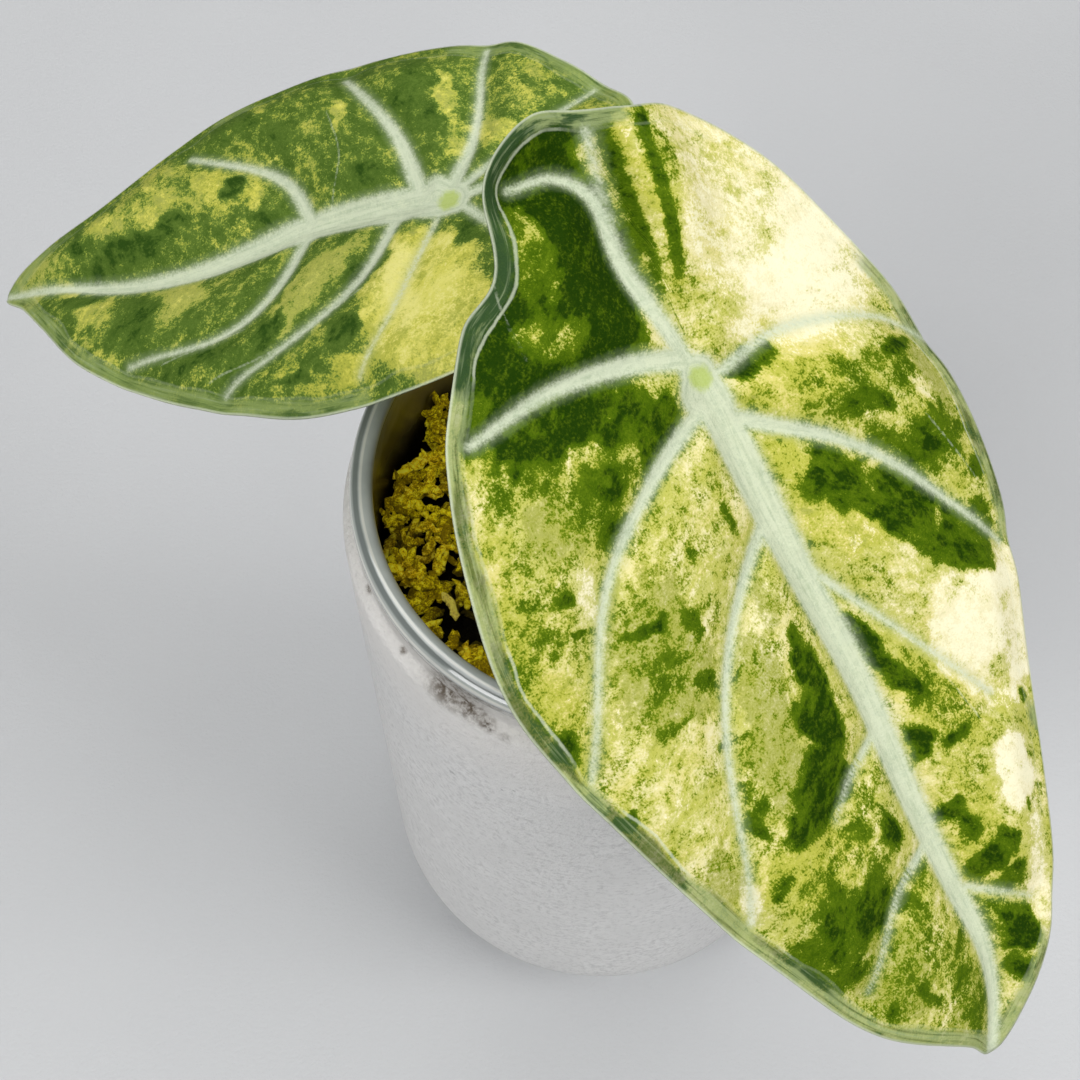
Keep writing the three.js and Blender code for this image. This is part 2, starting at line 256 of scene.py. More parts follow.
class Finish:
    """A material whose look comes from formulas on its sockets."""

    def __init__(self, name, tones, roughness=0.5, **fixed):
        self.tones, self.tint = tones, None
        self.material = bpy.data.materials.new(name)
        self.material.use_nodes = True
        self.tree = self.material.node_tree
        self.shader = self.tree.nodes["Principled BSDF"]
        self.shader.inputs["Roughness"].default_value = roughness
        for key, value in fixed.items():
            self.shader.inputs[key.replace("_", " ")].default_value = value

    def node(self, kind, settings=None, inputs=None):
        made = self.tree.nodes.new(kind)
        for key, value in (settings or {}).items():
            setattr(made, key, value)
        for key, value in (inputs or {}).items():
            self.put(made.inputs[key], value)
        return made

    def put(self, socket, value):
        if isinstance(value, Field):
            self.tree.links.new(value.socket, socket)
        else:
            socket.default_value = value

    def attribute(self, name, output="Fac"):
        return Field(self, self.node("ShaderNodeAttribute", {"attribute_name": name}).outputs[output])

    def place(self):
        """Object coordinates, in millimetres."""
        metres = Field(self, self.node("ShaderNodeTexCoord").outputs["Object"])
        return self.scaled(metres, (1 / MM,) * 3)

    def scaled(self, vector, factors):
        node = self.node("ShaderNodeVectorMath", {"operation": "MULTIPLY"}, {0: vector, 1: factors})
        return Field(self, node.outputs["Vector"])

    def part(self, vector, axis):
        return Field(self, self.node("ShaderNodeSeparateXYZ", None, {0: vector}).outputs[axis])

    def noise(self, vector, size, detail=3.0, roughness=0.6, warp=0.0):
        """Cloudy noise from about -1 to 1, whose largest clouds are about size mm."""
        inputs = {"Vector": vector, "Scale": 1 / size, "Detail": detail,
                  "Roughness": roughness, "Distortion": warp}
        return (Field(self, self.node("ShaderNodeTexNoise", None, inputs).outputs[0]) - 0.5) * 4

    def away(self, vector, point):
        """Distance in mm from a point."""
        node = self.node("ShaderNodeVectorMath", {"operation": "DISTANCE"}, {0: vector, 1: point})
        return Field(self, node.outputs["Value"])

    def cells(self, vector, size):
        """Distance to the middle of the nearest cell, nought to about one."""
        inputs = {"Vector": vector, "Scale": 1 / size}
        return Field(self, self.node("ShaderNodeTexVoronoi", None, inputs).outputs["Distance"])

    def mix(self, factor, a, b):
        """From a to b as the factor goes from 0 to 1; each is a field or a tone's name."""
        colour = lambda value: value if isinstance(value, Field) else (*self.tones[value], 1)
        inputs = {0: factor, 6: colour(a), 7: colour(b)}
        node = self.node("ShaderNodeMix", {"data_type": "RGBA"}, inputs)
        return Field(self, node.outputs[2])

    def lay(self, amount, tone):
        self.tint = self.mix(amount, self.tint, tone)

    def colour(self):
        self.put(self.shader.inputs["Base Color"], self.tint)

    def roughness(self, value):
        self.put(self.shader.inputs["Roughness"], value)

    def bump(self, height, depth, strength=1.0):
        """Relief: height is a field from about -1 to 1, and depth its size in mm."""
        inputs = {"Height": height, "Distance": depth * MM, "Strength": strength}
        made = self.node("ShaderNodeBump", None, inputs)
        self.tree.links.new(made.outputs[0], self.shader.inputs["Normal"])


print("finishes ready")

# %% [markdown]
# ## Floor and light
# The bench is a plain pale sheet, and only a stage for the plant. Four soft lights stand
# 1.3 m from the pot, as lamps with diffusers would: one on the right throws the pot's shadow
# to the left, one in front on the left lights the moss, a large one hangs overhead, a little
# behind, and a small weak one in front fills the shadows.

# %% Floor
BENCH_TONES = dict(darker=(0.50, 0.507, 0.515), lighter=(0.53, 0.537, 0.545))
floor_finish = Finish("bench", BENCH_TONES, 0.7)
bench_place = floor_finish.place()
bench_grey = floor_finish.noise(bench_place, 90, 2).step(-1, 1)
floor_finish.tint = floor_finish.mix(bench_grey, "darker", "lighter")
floor_finish.colour()
floor_finish.bump(floor_finish.noise(bench_place, 0.6, 2), 0.02)
FLOOR_HALF = 1500.0
FLOOR_LINES = 9
FLOOR_LEVEL = -0.05  # a hair under the pot, so that the two faces don't share a plane
steps = np.linspace(-FLOOR_HALF, FLOOR_HALF, FLOOR_LINES)
east, north = np.meshgrid(steps, steps)
floor_points = np.stack([east, north, np.full_like(east, FLOOR_LEVEL)], -1).reshape(-1, 3)
floor = surface("bench", floor_points, grid_faces(FLOOR_LINES, FLOOR_LINES), [floor_finish.material])
floor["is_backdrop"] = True


# %% Light
POT_MIDDLE = np.array([0, 0, 90.0])
LIGHT_DISTANCE = 1300.0


def soft_light(name, azimuth, elevation, size, power):
    """A square area light that faces the pot from an azimuth and elevation in degrees."""
    data = bpy.data.lights.new(name, "AREA")
    data.size, data.energy = size * MM, power
    light = bpy.data.objects.new(name, data)
    turn, rise = np.radians(azimuth), np.radians(elevation)
    back = np.array([np.cos(turn) * np.cos(rise), np.sin(turn) * np.cos(rise), np.sin(rise)])
    light.location = (POT_MIDDLE + back * LIGHT_DISTANCE) * MM
    light.rotation_euler = (np.pi / 2 - rise, 0, turn + np.pi / 2)
    scene.collection.objects.link(light)


soft_light("right", -22, 42, 650, 8.0)
soft_light("left", -132, 46, 650, 9.0)
soft_light("overhead", 90, 76, 1100, 10.6)
soft_light("front", -97, 66, 400, 2.0)
ROOM_COLOUR, ROOM_STRENGTH = (0.93, 0.96, 1.0, 1), 0.06
world = bpy.data.worlds.new("studio")
world.use_nodes = True
world.node_tree.nodes["Background"].inputs[0].default_value = ROOM_COLOUR
world.node_tree.nodes["Background"].inputs[1].default_value = ROOM_STRENGTH
scene.world = world

# %% [markdown]
# ## The leaves: what they are
# On the plant a leaf is one thin, stiff blade, velvety above, that hangs like a shield from a
# stalk joined to its underside. A blade has one height over each point of its plane, so a
# formula for the height makes all of it, and the veins and colours can be laid out flat, as
# on a drawing. `u` runs from the seat of the stalk to the tip and `v` to the right. The
# height is a sum: the arch of the midrib, the crown of each half, the pillows between the
# veins, the fold between the back lobes, the turned-down margin and its waves. Outline and
# heights have the solid's values. The rear midrib and three side veins on each leaf leave
# the solid's lines, by 4.5 mm at most, to lie nearer to the photograph's.

# %% Leaf outlines and veins, in mm
FRONT = dict(
    seat=(4.9, -8.1, 140), tip=(32.6, -58.7, 104), roll=10, length=71, half_width=26,
    centre=(22, -1.5), arch=4.5, crown=1.6, pillow=0.9, vein_reach=2.4, droop=1.2,
    wave=0.6, waves=5, wave_phase=0.5,
    outline=[
        (-23.5, 3), (-22, 8), (-15.5, 14.5), (-7.5, 19), (2.5, 23.5), (13, 25.5), (23, 24.5),
        (32.5, 22.5), (47.5, 18.5), (62, 13), (68, 7.5), (71, 3), (68.5, 0.5), (61.5, -8.5),
        (51, -15), (39, -21), (27.5, -25.5), (18, -28), (8, -27.5), (-0.5, -25.5), (-7, -22),
        (-12, -17.5), (-14.5, -13.5), (-21, -11), (-24.5, -8), (-26, -4), (-25, -0.5),
    ],
    midrib=[
        (0, 0), (10, 0.6), (20, 1.6), (31, 3), (43, 3.6), (53, 4.6), (59, 5.4), (65, 5), (71, 3),
    ],
    veins=[
        [(-1.5, -0.5), (-10.5, -2), (-18, -1.8), (-20.5, -4), (-21, -8)],
        [(-2.5, 0), (-12, 2.5), (-22, 3.4)],
        [(-2, -1), (-3.5, -6.5), (-4.2, -14), (-3, -22)],
        [(2.6, -1), (6.5, -9.3), (12.6, -16.8), (27, -24)],
        [(14, 0.5), (16.5, -3), (22, -8.3), (29, -12), (45.5, -15.8)],
        [(0.5, 2), (-0.5, 9), (2.5, 19.5), (6.5, 24.5)],
        [(5, 2), (12.5, 12), (26.5, 22.5)],
        [(19, 2), (25, 6), (38.5, 15)],
        [(36, 3), (38.5, -2), (41, -5)],
        [(48, 4), (50.5, -1.5), (57, -8)],
        [(53.5, 5), (58.5, 12)],
        [(-23, -0.2), (-14, -1.2)],
    ],
    # A width of -1.5 keeps the second line, the crest of the fold, from being drawn as a vein.
    vein_widths=[0.78, -1.5, 1.0, 0.75, 0.7, 0.5, 0.75, 0.5, 0.5, 0.52, 0.45, 0.35],
    midrib_widths=(2.0, 0.7),
    folds=[(1, 3.2, 3.6), (0, -2.2, 3.4)],
    notches=[(-13, -17, 1.5, 4)],
    threads=[  # fine pale lines between the veins
        [(-14.3, -13.6), (-10.5, -14.2), (-7.3, -14.5)],
        [(12, 19), (16, 20.5), (20, 22)],
        [(31, 10), (40, 12.6)],
    ],
    stripes=[  # along the fold between the back lobes: (level, v at u = -15, slope, half width)
        (0.85, 0.3, -0.05, 0.45), (-0.45, 1.35, -0.11, 0.6), (0.85, 2.55, -0.16, 0.5),
    ],
)
REAR = dict(
    seat=(-17.5, 18.8, 130), tip=(-65.8, 16.9, 112), roll=0, length=55.5, half_width=21,
    centre=(17, 0), arch=4, crown=1.4, pillow=0.8, vein_reach=2.2, droop=1.2,
    wave=0.5, waves=5, wave_phase=1.5,
    outline=[
        (56, -7), (50, -10.2), (42.5, -13), (35, -17), (28.5, -19.5), (21, -20.8), (14, -22),
        (7, -21.5), (-0.5, -19.8), (-7, -18), (-12, -14), (-16.5, -9.5), (-19, -6), (-17.2, -1),
        (-19, 5), (-17, 10), (-13, 14.5), (-6.5, 18.3), (1, 20), (9, 20.6), (17, 20.6),
        (26.5, 17.5), (34, 13.6), (43, 7.4), (48.5, 1), (52.5, -3.6),
    ],
    midrib=[(0, 0), (8, -0.6), (16, -0.9), (22, -0.2), (28, 0.2), (37, -0.9), (46, -3.8), (56, -7)],
    veins=[
        [(3, -1), (5.5, -9), (12, -19.5)],
        [(0, -1), (-2.5, -6.5), (-4, -18)],
        [(15, -1), (18, -7), (30, -14.5)],
        [(15.5, -0.8), (18, 5), (21, 8.3), (25.5, 10.1), (36.5, 9.6)],
        [(5, -1), (9.5, 8), (24.5, 16.5)],
        [(1, 1), (3.5, 7), (6, 12.5), (10, 18)],
        [(-1, -1), (-10, -6), (-15, -9.5)],
        [(-1, 1), (-8, 8), (-13, 11)],
        [(-1, 0), (-17, -1)],
    ],
    vein_widths=[0.9, 0.8, 0.8, 0.65, 0.65, 0.3, 0.5, 0.5, 0.6],
    midrib_widths=(2.2, 0.35),
    folds=[(8, 1.6, 4)],
    notches=[],
    threads=[[(13, -2), (11.5, -8), (13, -14)], [(9, 9), (18, 13), (26, 15)], [(22, 10), (32, 11)]],
    stripes=[],
)


# %% The blade as a function of (u, v)
class Blade:
    """One leaf's frame, outline and height formula."""

    def __init__(self, leaf):
        self.__dict__.update(leaf)
        self.origin = np.array(self.seat, float)
        along = np.array(self.tip) - self.origin
        self.along = along / np.linalg.norm(along)
        up = np.array([0, 0, 1.0]) - self.along[2] * self.along
        up /= np.linalg.norm(up)
        turn = np.radians(self.roll)
        self.normal = np.cos(turn) * up + np.sin(turn) * np.cross(up, self.along)
        self.right = np.cross(self.normal, self.along)
        self.midline = curve_through(self.midrib)
        self.lines = [curve_through(points) for points in self.veins]
        edge = curve_through(self.outline, closed=True)[:-1]
        away = edge - self.centre
        angle, reach = np.arctan2(away[:, 1], away[:, 0]), np.hypot(away[:, 0], away[:, 1])
        order = np.argsort(angle)
        self.angles, self.reaches, self.edge = angle[order], reach[order], edge
        tip = np.array(self.midrib[-1]) - self.centre
        self.heading = np.arctan2(tip[1], tip[0])

    def reach_at(self, angle):
        """The outline's distance from the centre at an angle."""
        return np.interp(angle, self.angles, self.reaches, period=2 * np.pi)

    def grid(self, along_cells, across_cells):
        """(u, v) of a square grid drawn out to a disc, x sqrt(1 - y^2/2), and to the outline."""
        x, y = np.meshgrid(np.linspace(-1, 1, along_cells + 1), np.linspace(-1, 1, across_cells + 1))
        dx, dy = x * np.sqrt(1 - y * y / 2), y * np.sqrt(1 - x * x / 2)
        angle = np.arctan2(dy, dx) + self.heading
        reach = np.hypot(dx, dy) * self.reach_at(angle)
        return self.centre[0] + reach * np.cos(angle), self.centre[1] + reach * np.sin(angle)

    def height(self, u, v, nearest):
        """The sum of arch, crown, folds, pillows, turned margin, waves and notches."""
        du, dv = u - self.centre[0], v - self.centre[1]
        angle = np.arctan2(dv, du)
        rim = np.hypot(du, dv) / self.reach_at(angle)
        middle = np.where(u > 0, np.interp(u, self.midline[:, 0], self.midline[:, 1]), 0)
        half = np.minimum(np.abs(v - middle) / self.half_width, 1)
        height = -self.arch * (np.maximum(u, 0) / self.length) ** 2
        height = height + self.crown * np.sin(np.pi * half) * smooth(u, -4, 8)
        for vein, rise, reach in self.folds:
            height += rise * bell(distance_to(self.lines[vein], u, v)[0], reach) * smooth(-u, 0, 16)
        height += self.pillow * (1 - bell(nearest, self.vein_reach))
        height -= self.droop * smooth(rim, 0.8, 1)
        height += self.wave * np.sin(self.waves * angle + self.wave_phase) * smooth(rim, 0.7, 1)
        for nu, nv, depth, reach in self.notches:
            height -= depth * bell(np.hypot(u - nu, v - nv), reach)
        return height

    def place(self, u, v, height):
        """seat + u along + v right + height normal."""
        return (self.origin + u[..., None] * self.along + v[..., None] * self.right
                + height[..., None] * self.normal)


for name, leaf in (("front", FRONT), ("rear", REAR)):
    print(name, "blade faces", Blade(leaf).normal.round(2))

# %% [markdown]
# ## The leaves: where the colours lie
# On the plant the pale parts of the marbling are where cells lack green. The marbling is
# painted here as soft strokes, each an ellipse in (u, v) that draws a level towards its own.
# They were placed to follow the photograph. A level says how much of the place a tone
# covers: below about -1 none of it, above about 1 all of it. Later strokes lie over earlier
# ones. Their outlines are made ragged by cloudy shifts of (u, v), and the finish breaks the
# levels up with finer noise, so that a stroke dissolves into blotches and specks, which no
# outline drawn by hand would do.

# %% Strokes
# Each tone has its level where nothing is painted, and then its strokes in order: level, u, v,
# half length, half width, softness and, if it is turned, the degrees from u to v.
FRONT_STROKES = dict(
    dark=(-0.15, [
        (-0.85, -10, 13.2, 16, 9.8, 0.12, -5), (-1.2, -4, 14.4, 5, 5.6, 0.8), (-0.5, -18, 8.6, 5, 4, 0.8),
        (-0.3, -9, 10.6, 1.4, 3.6, 0.8), (-0.35, -4, 5.6, 1.4, 3, 0.8), (-0.5, -14, 13, 4, 1.6, 0.8, 35),
        (0.1, -19, 4.2, 5, 1, 0.6), (0.2, -17, 2, 8, 2, 0.5, -5), (1.4, -14, -9, 13, 8.6, 0.25),
        (1.4, -9, -17, 6.5, 5, 0.3), (1.2, -24, -5, 2.6, 8, 0.6), (0.5, -15, -10, 5.4, 1.8, 0.8),
        (0.3, -8, -11.4, 3, 3.4, 0.8), (0.3, -18, -9.6, 2, 1.4, 0.8), (1.3, -1, -15, 2.6, 6.4, 0.3),
        (0.95, 2, -8, 4.6, 4.4, 0.4), (1.1, -4.4, -20.2, 2.6, 2, 0.5), (0.1, -1.6, -20.8, 1, 1.6, 0.7),
        (0.4, 1.6, -22, 1.8, 2.2, 0.8), (0.3, 4.4, -13.4, 3.6, 4, 0.7), (0.0, 2.6, -17, 1.2, 3.4, 0.7),
        (0.95, 4.8, -13.4, 1.6, 2.2, 0.6), (-0.1, 3.6, -10, 1.4, 1.2, 0.8), (0.5, 1.6, -18.4, 1.4, 2, 0.7),
        (-0.05, 5.6, -19.4, 3, 3, 0.8), (0.5, 6.2, -16.2, 1.7, 2.4, 0.8), (0.9, 8.4, -14, 1.6, 2, 0.7),
        (0.45, 10.8, -23, 1.4, 2.2, 0.8), (0.3, 13.6, -23.4, 2.2, 1.8, 0.8),
        (0.9, 11.4, -21.2, 0.8, 1.2, 0.6), (0.8, 14.5, -21.2, 0.6, 0.8, 0.6), (-0.5, 7, -25, 1.6, 1.4, 0.8),
        (0.2, 18, -25.6, 5, 1.6, 0.8), (0.8, 23.6, -25.2, 1.6, 1.2, 0.7), (-0.8, 12, -18.6, 2.4, 1.6, 0.7),
        (-0.6, 24, -20.8, 4, 1.1, 0.7, -30), (-0.35, 31, -19, 6, 4.6, 0.8, -20),
        (0.8, 31, -23.4, 0.9, 0.8, 0.5), (0.7, 29, -24.6, 1, 0.8, 0.5), (-0.8, 43, -15.6, 3, 1.3, 0.6),
        (-0.2, 10, -7, 4, 5, 0.8, -40), (0.7, 12.4, -8.8, 0.6, 0.7, 0.7),
        (0.7, 12, -3.6, 1.4, 0.6, 0.7, 30), (0.0, 19.6, -14.6, 6.6, 4.8, 0.6, -10),
        (0.8, 16.6, -15, 0.8, 1.8, 0.7), (0.8, 18.6, -11, 1.6, 1, 0.7), (0.7, 23.4, -12, 0.9, 0.8, 0.6),
        (0.6, 25.2, -16.4, 1, 1.6, 0.7), (0.35, 20.6, -15.4, 2.4, 2.6, 0.8),
        (-0.4, 28, -13.2, 3, 1.4, 0.8, -20), (-0.1, 27.6, -22, 2.4, 2, 0.8),
        (-0.35, 22, -5, 3.4, 1.8, 0.6, -20), (-0.15, 29.6, -7.6, 8, 2.6, 0.6, -10),
        (0.8, 37, -12.4, 1.8, 0.9, 0.6), (0.5, 35, -11.4, 1.4, 1, 0.7), (0.4, 29, -12.6, 1, 1.6, 0.8),
        (1.1, 28, -1.8, 4.4, 1.5, 0.4, -6), (1.05, 32, -2.6, 3.8, 2.6, 0.35, -8),
        (1.05, 37, -5, 2.8, 3.8, 0.4, -30), (1, 39.4, -8, 1.8, 2.8, 0.5), (0.6, 43, -4.6, 1.4, 2, 0.7),
        (0.35, 41, -2, 1.4, 2.4, 0.7), (0.55, 46.2, -2.6, 1.6, 2, 0.7), (0.5, 50.8, 1.2, 1.8, 1.6, 0.7),
        (0.05, 44.6, -8, 2.4, 6, 0.7), (1.1, 44.4, 0.2, 2.4, 1.3, 0.4), (0.8, 43.4, -12.6, 0.9, 0.9, 0.6),
        (0.85, 49.8, -7.6, 3.6, 6.8, 0.5, 8), (1.2, 50.2, -4.8, 1.7, 3.2, 0.5),
        (0.95, 46.8, -8, 1.4, 1.3, 0.6), (0.85, 54, -9.4, 2.2, 2.4, 0.6), (0.8, 51.4, -13, 2.6, 1.8, 0.6),
        (0.1, 57.4, -5.4, 4.4, 4, 0.6), (0.2, 55, -0.4, 6, 1.4, 0.8), (0.8, 51.8, -1.2, 1.2, 1.2, 0.6),
        (0.85, 60, -2.6, 1.8, 1, 0.6), (0.8, 60, -6.8, 1.4, 0.9, 0.7), (0.5, 64.5, 2, 3, 2.4, 0.7),
        (1.1, 1.1, 5.2, 1.2, 3, 0.4), (-0.25, 3.4, 9, 1.8, 5, 0.8), (-0.4, 2.8, 16, 1.4, 5, 0.6),
        (0.3, 7, 15, 2.8, 8, 0.7), (1.2, 5.6, 19.6, 0.8, 2.2, 0.4), (0.8, 8.4, 13.6, 1, 2.6, 0.6),
        (-0.2, 8, 21.6, 1.8, 1.8, 0.8), (0.2, 5, 10.6, 1.4, 3, 0.8), (0.6, 14.5, 18.4, 3.8, 4.8, 0.7),
        (0.6, 12.2, 14, 1.8, 1.8, 0.7), (1.1, 15, 18, 1.8, 2.2, 0.6), (-0.1, 12, 22.6, 2, 1.6, 0.8),
        (0.9, 19, 22, 2.6, 1.2, 0.7), (-0.3, 10, 3.8, 2.8, 1.8, 0.5), (0.15, 15, 3.6, 4, 1, 0.7),
        (-0.5, 17.4, 6.2, 5, 2.2, 0.35, 40), (-0.5, 23.2, 10.2, 4.4, 2.4, 0.7, 42),
        (-1, 32.4, 17.4, 8.4, 6.6, 0.2), (0.95, 12.6, 7, 2.6, 3, 0.35),
        (0.95, 19.8, 13.8, 10.8, 3.2, 0.3, 45), (0.9, 24.6, 19, 3.4, 3, 0.4, 45),
        (0.1, 14.6, 11.6, 0.9, 2.4, 0.7, 45), (0.2, 20.6, 16.4, 0.8, 2.6, 0.7, 45),
        (-0.4, 31.6, 19.6, 1.2, 1, 0.8), (0.15, 37.2, 16.4, 2.4, 2.2, 0.8),
        (-0.2, 27.4, 15.4, 1.8, 1.6, 0.8), (0.5, 40.4, 18.6, 1, 0.8, 0.7), (-0.5, 27.4, 8, 3, 1.4, 0.7, 40),
        (0.1, 35.6, 9.6, 5.4, 2.8, 0.7, 25), (1.2, 28.4, 5, 3.4, 1.3, 0.5, 27),
        (1.1, 32.4, 7, 3.4, 1.4, 0.5, 25), (1.2, 38.2, 5.6, 2, 1.5, 0.6), (0.8, 40, 9.6, 1.2, 1.5, 0.7),
        (-0.1, 43, 12.6, 3, 2.6, 0.8), (1, 46.4, 6.6, 1.4, 1.6, 0.5), (0.9, 48.4, 7.8, 1.4, 1.2, 0.6),
        (0.95, 52.6, 8, 1.7, 2.8, 0.5), (0.9, 52, 10.8, 1.6, 1, 0.6), (0.95, 55.4, 10.8, 1.3, 1.7, 0.5),
        (1.15, 60, 9.6, 2.6, 2.7, 0.35), (0.85, 64.6, 8, 1.8, 1.7, 0.5), (0.3, 58, 6.6, 4, 1, 0.8),
        (0.6, 57, 8.4, 1.6, 1.4, 0.7), (0.5, 59.4, 1.8, 2.6, 1.8, 0.7), (-1.15, 46.4, 14.4, 4.2, 2.2, 0.4),
        (-0.7, 56, 13.8, 8, 1.3, 0.5, -12), (0.4, 50.2, 15, 1.2, 0.7, 0.7),
    ]),
    warm=(0.1, [
        (-0.8, -6, 14, 8, 7, 0.5), (-0.1, -16, 9, 6, 5, 0.8), (0.7, -16, 1.8, 9, 1, 0.5),
        (0.9, 4, 8, 3.4, 6, 0.8), (0.9, 10, 4, 3, 1.8, 0.6), (0.9, 17.4, 6.2, 5, 2.4, 0.6, 40),
        (0.2, 24, 10.4, 4, 2.4, 0.8, 42), (-0.7, 32, 18, 8, 6, 0.5), (0.7, 36, 9, 7, 3.4, 0.8, 25),
        (-1, 46.6, 14.8, 4.6, 3, 0.6), (0.9, -2, -19, 2, 3, 0.8), (0.6, 9, -25, 6, 2.4, 0.8),
        (-0.7, 12, -18.8, 3, 2, 0.8), (0.8, 20, -24.6, 8, 2.4, 0.8), (0.2, 31, -18, 7, 5, 0.8),
        (0.8, 43, -9, 4, 6, 0.8), (-0.8, 43, -15.6, 3, 1.4, 0.8), (0.7, 50, 8, 8, 4, 0.8),
        (-0.5, 57, 14, 8, 1.6, 0.8, -12), (-0.3, 24, -5.4, 6, 2, 0.8, -20),
    ]),
    wash=(-0.35, [
        (-1, -10, 13, 16, 10, 0.3), (0.7, 5.8, -19.2, 3.2, 3.6, 0.7), (0.7, 8, 22, 3, 2, 0.7),
        (0.9, 19.6, -14.8, 6.8, 5, 0.7, -10), (0.9, 30, -7.6, 8.4, 2.8, 0.6, -10),
        (0.3, 21, -3, 3, 1.6, 0.6), (-1, 32, 18, 10, 6, 0.4), (0.9, 57.4, -5.4, 5, 4.6, 0.7),
        (0.6, 64.6, 2, 4, 4, 0.8), (0.5, 40, -17.6, 3.4, 2.2, 0.8), (-1, 46.6, 14.6, 5, 3, 0.4),
        (0.5, 12, 22.4, 3, 2, 0.8),
    ]),
    band=(-0.1, [
        (1, -16, -12, 13, 12, 0.4), (0.3, 4, -26, 8, 4, 0.6), (0.6, 20, -27, 9, 3, 0.5),
        (0.5, 12, 25, 15, 4, 0.4), (-1, -12, 16, 11, 9, 0.5), (-1, -21, 9, 6, 7, 0.4),
        (-1, 34, 22, 9, 5, 0.5), (0.3, 46, 19, 4, 2, 0.5, -20), (-1, 54, 16, 12, 4, 0.4, -16),
        (0.8, 34, -23, 6, 3, 0.5, 24), (0.2, 50, -16, 7, 4, 0.6, 30), (-0.2, 64, 2, 7, 10, 0.6),
    ]),
)
REAR_STROKES = dict(
    dark=(0.4, [
        (-0.6, 2.4, 12.2, 6.6, 9.4, 0.25, 14), (-0.7, 4.4, 5, 2.4, 2.6, 0.6),
        (-0.95, 5.4, 9, 2, 5, 0.6, 14), (1, -1.4, 5, 1.4, 1.4, 0.5), (0.85, 8.6, 7, 3.4, 2, 0.6, 35),
        (-0.1, 13.6, 16.6, 7, 3, 0.6), (1, 11, 14, 2, 1.8, 0.5, 20), (1, 16.4, 17, 2.4, 1.2, 0.5),
        (-0.5, 9.6, 17, 2, 1.4, 0.7), (0.5, 13.8, 15.8, 1.8, 1.4, 0.7), (-0.4, 15.6, 7.8, 9.4, 2, 0.4, 42),
        (0.1, 19, 11, 6, 1.2, 0.7, 50), (0.9, 21, 13, 6, 1.6, 0.5, 50), (0.85, 28, 12, 6, 2, 0.5, 5),
        (0.9, 19.6, 5, 2.6, 1.2, 0.6, 40), (0.35, 25, 5.4, 3.4, 3.4, 0.7), (-0.4, 30.6, 3.8, 3.2, 3.2, 0.5),
        (0.9, 35, 5, 3, 3.4, 0.6, 20), (-0.35, 40.6, 1.8, 2.8, 2.4, 0.6, -20),
        (-0.2, 38.6, 7.6, 2, 1, 0.7, -30), (0.8, 43, -0.6, 3, 1.4, 0.6, -20),
        (-0.3, 46, -3.4, 3, 1.2, 0.7, -30), (0.0, 25, -8.4, 5.4, 4.4, 0.6),
        (-0.35, 27, -9.6, 2.6, 2.4, 0.7), (1, 24.2, -8.2, 1.4, 1.6, 0.6), (-0.3, 21.6, -5.4, 1.2, 2, 0.7),
        (0.9, 21, -3.4, 2, 1, 0.6), (0.0, 34, -11, 6.4, 3.8, 0.6, -20), (-0.35, 33, -8, 2.4, 2.4, 0.7),
        (-0.25, 40, -9, 4, 1.8, 0.7, -20), (1.05, 37, -5, 8, 1.7, 0.5, 4), (0.8, 44.6, -8, 2, 0.8, 0.6),
        (-0.3, 0.4, -13, 1.2, 3.4, 0.6, 10), (-0.2, -1, -6.4, 0.9, 4, 0.7),
        (0.85, 4, -14, 2, 3.4, 0.7, -20), (0.9, 2, -9.4, 1.4, 1.6, 0.6), (0.1, -8, -11, 5, 3.4, 0.7, -30),
        (-0.35, -5, -6.4, 3.4, 1.8, 0.6, -20), (-0.3, 11.6, -13, 0.7, 2.2, 0.7),
        (0.25, 14.6, -14, 2, 4, 0.8), (0.85, 9, -5, 3.4, 2, 0.7, -20), (0.85, 18.6, -12.4, 1.4, 2.4, 0.7),
        (0.8, 25, -16, 4, 2, 0.8), (-0.2, 52, -6.6, 5, 5, 0.6), (0.0, -16, -6, 3, 4, 0.8),
        (-0.5, -14, 8, 4, 5, 0.8),
    ]),
    warm=(0.45, [
        (0.2, 3, 11, 9, 8, 0.4), (-0.5, 5.4, 9, 2.4, 6, 0.7, 10), (0.9, 13, 16.4, 6, 3.4, 0.6),
    ]),
    wash=(0.1, [
        (-1, 3, 11, 9, 8, 0.3), (-1, 14, 17, 6, 3, 0.5), (0.6, 15.6, 8, 9, 2.4, 0.6, 42),
        (0.5, 27, 4, 8, 4, 0.7), (0.6, 52, -6.6, 6, 5, 0.7), (-0.5, 24, -8.4, 4, 4, 0.7),
    ]),
    band=(0.0, [
        (-0.9, 3, 20, 7, 5, 0.5), (-0.2, 52, -6, 8, 8, 0.6), (-0.9, 10, -22, 24, 4, 0.4),
        (-0.9, 38, -17, 14, 6, 0.5, 24),
    ]),
)


# %% Painting
RAGGED, RAGGED_SIZE = 0.85, 3  # how far a stroke's outline wanders, and over what length
LATTICE = 128
LATTICE_U, LATTICE_V = 64.3, 64.7  # where on the lattice the origin lies, off its corners


def clouds(u, v, size, seed, octaves):
    """Lattice noise: random corner values from -1 to 1, S-curve between, finer copies on top."""
    total = np.zeros(u.shape)
    for k in range(octaves):
        corners = np.random.default_rng(seed + k).uniform(-1, 1, (LATTICE, LATTICE))
        x, y = u / size * 2**k + LATTICE_U, v / size * 2**k + LATTICE_V
        i, j = np.floor(x).astype(int), np.floor(y).astype(int)
        fx, fy = smooth(x - i, 0, 1), smooth(y - j, 0, 1)
        at = lambda a, b: corners[(i + a) % LATTICE, (j + b) % LATTICE]
        low = at(0, 0) + (at(1, 0) - at(0, 0)) * fx
        high = at(0, 1) + (at(1, 1) - at(0, 1)) * fx
        total += 0.55**k * (low + (high - low) * fy)
    return total


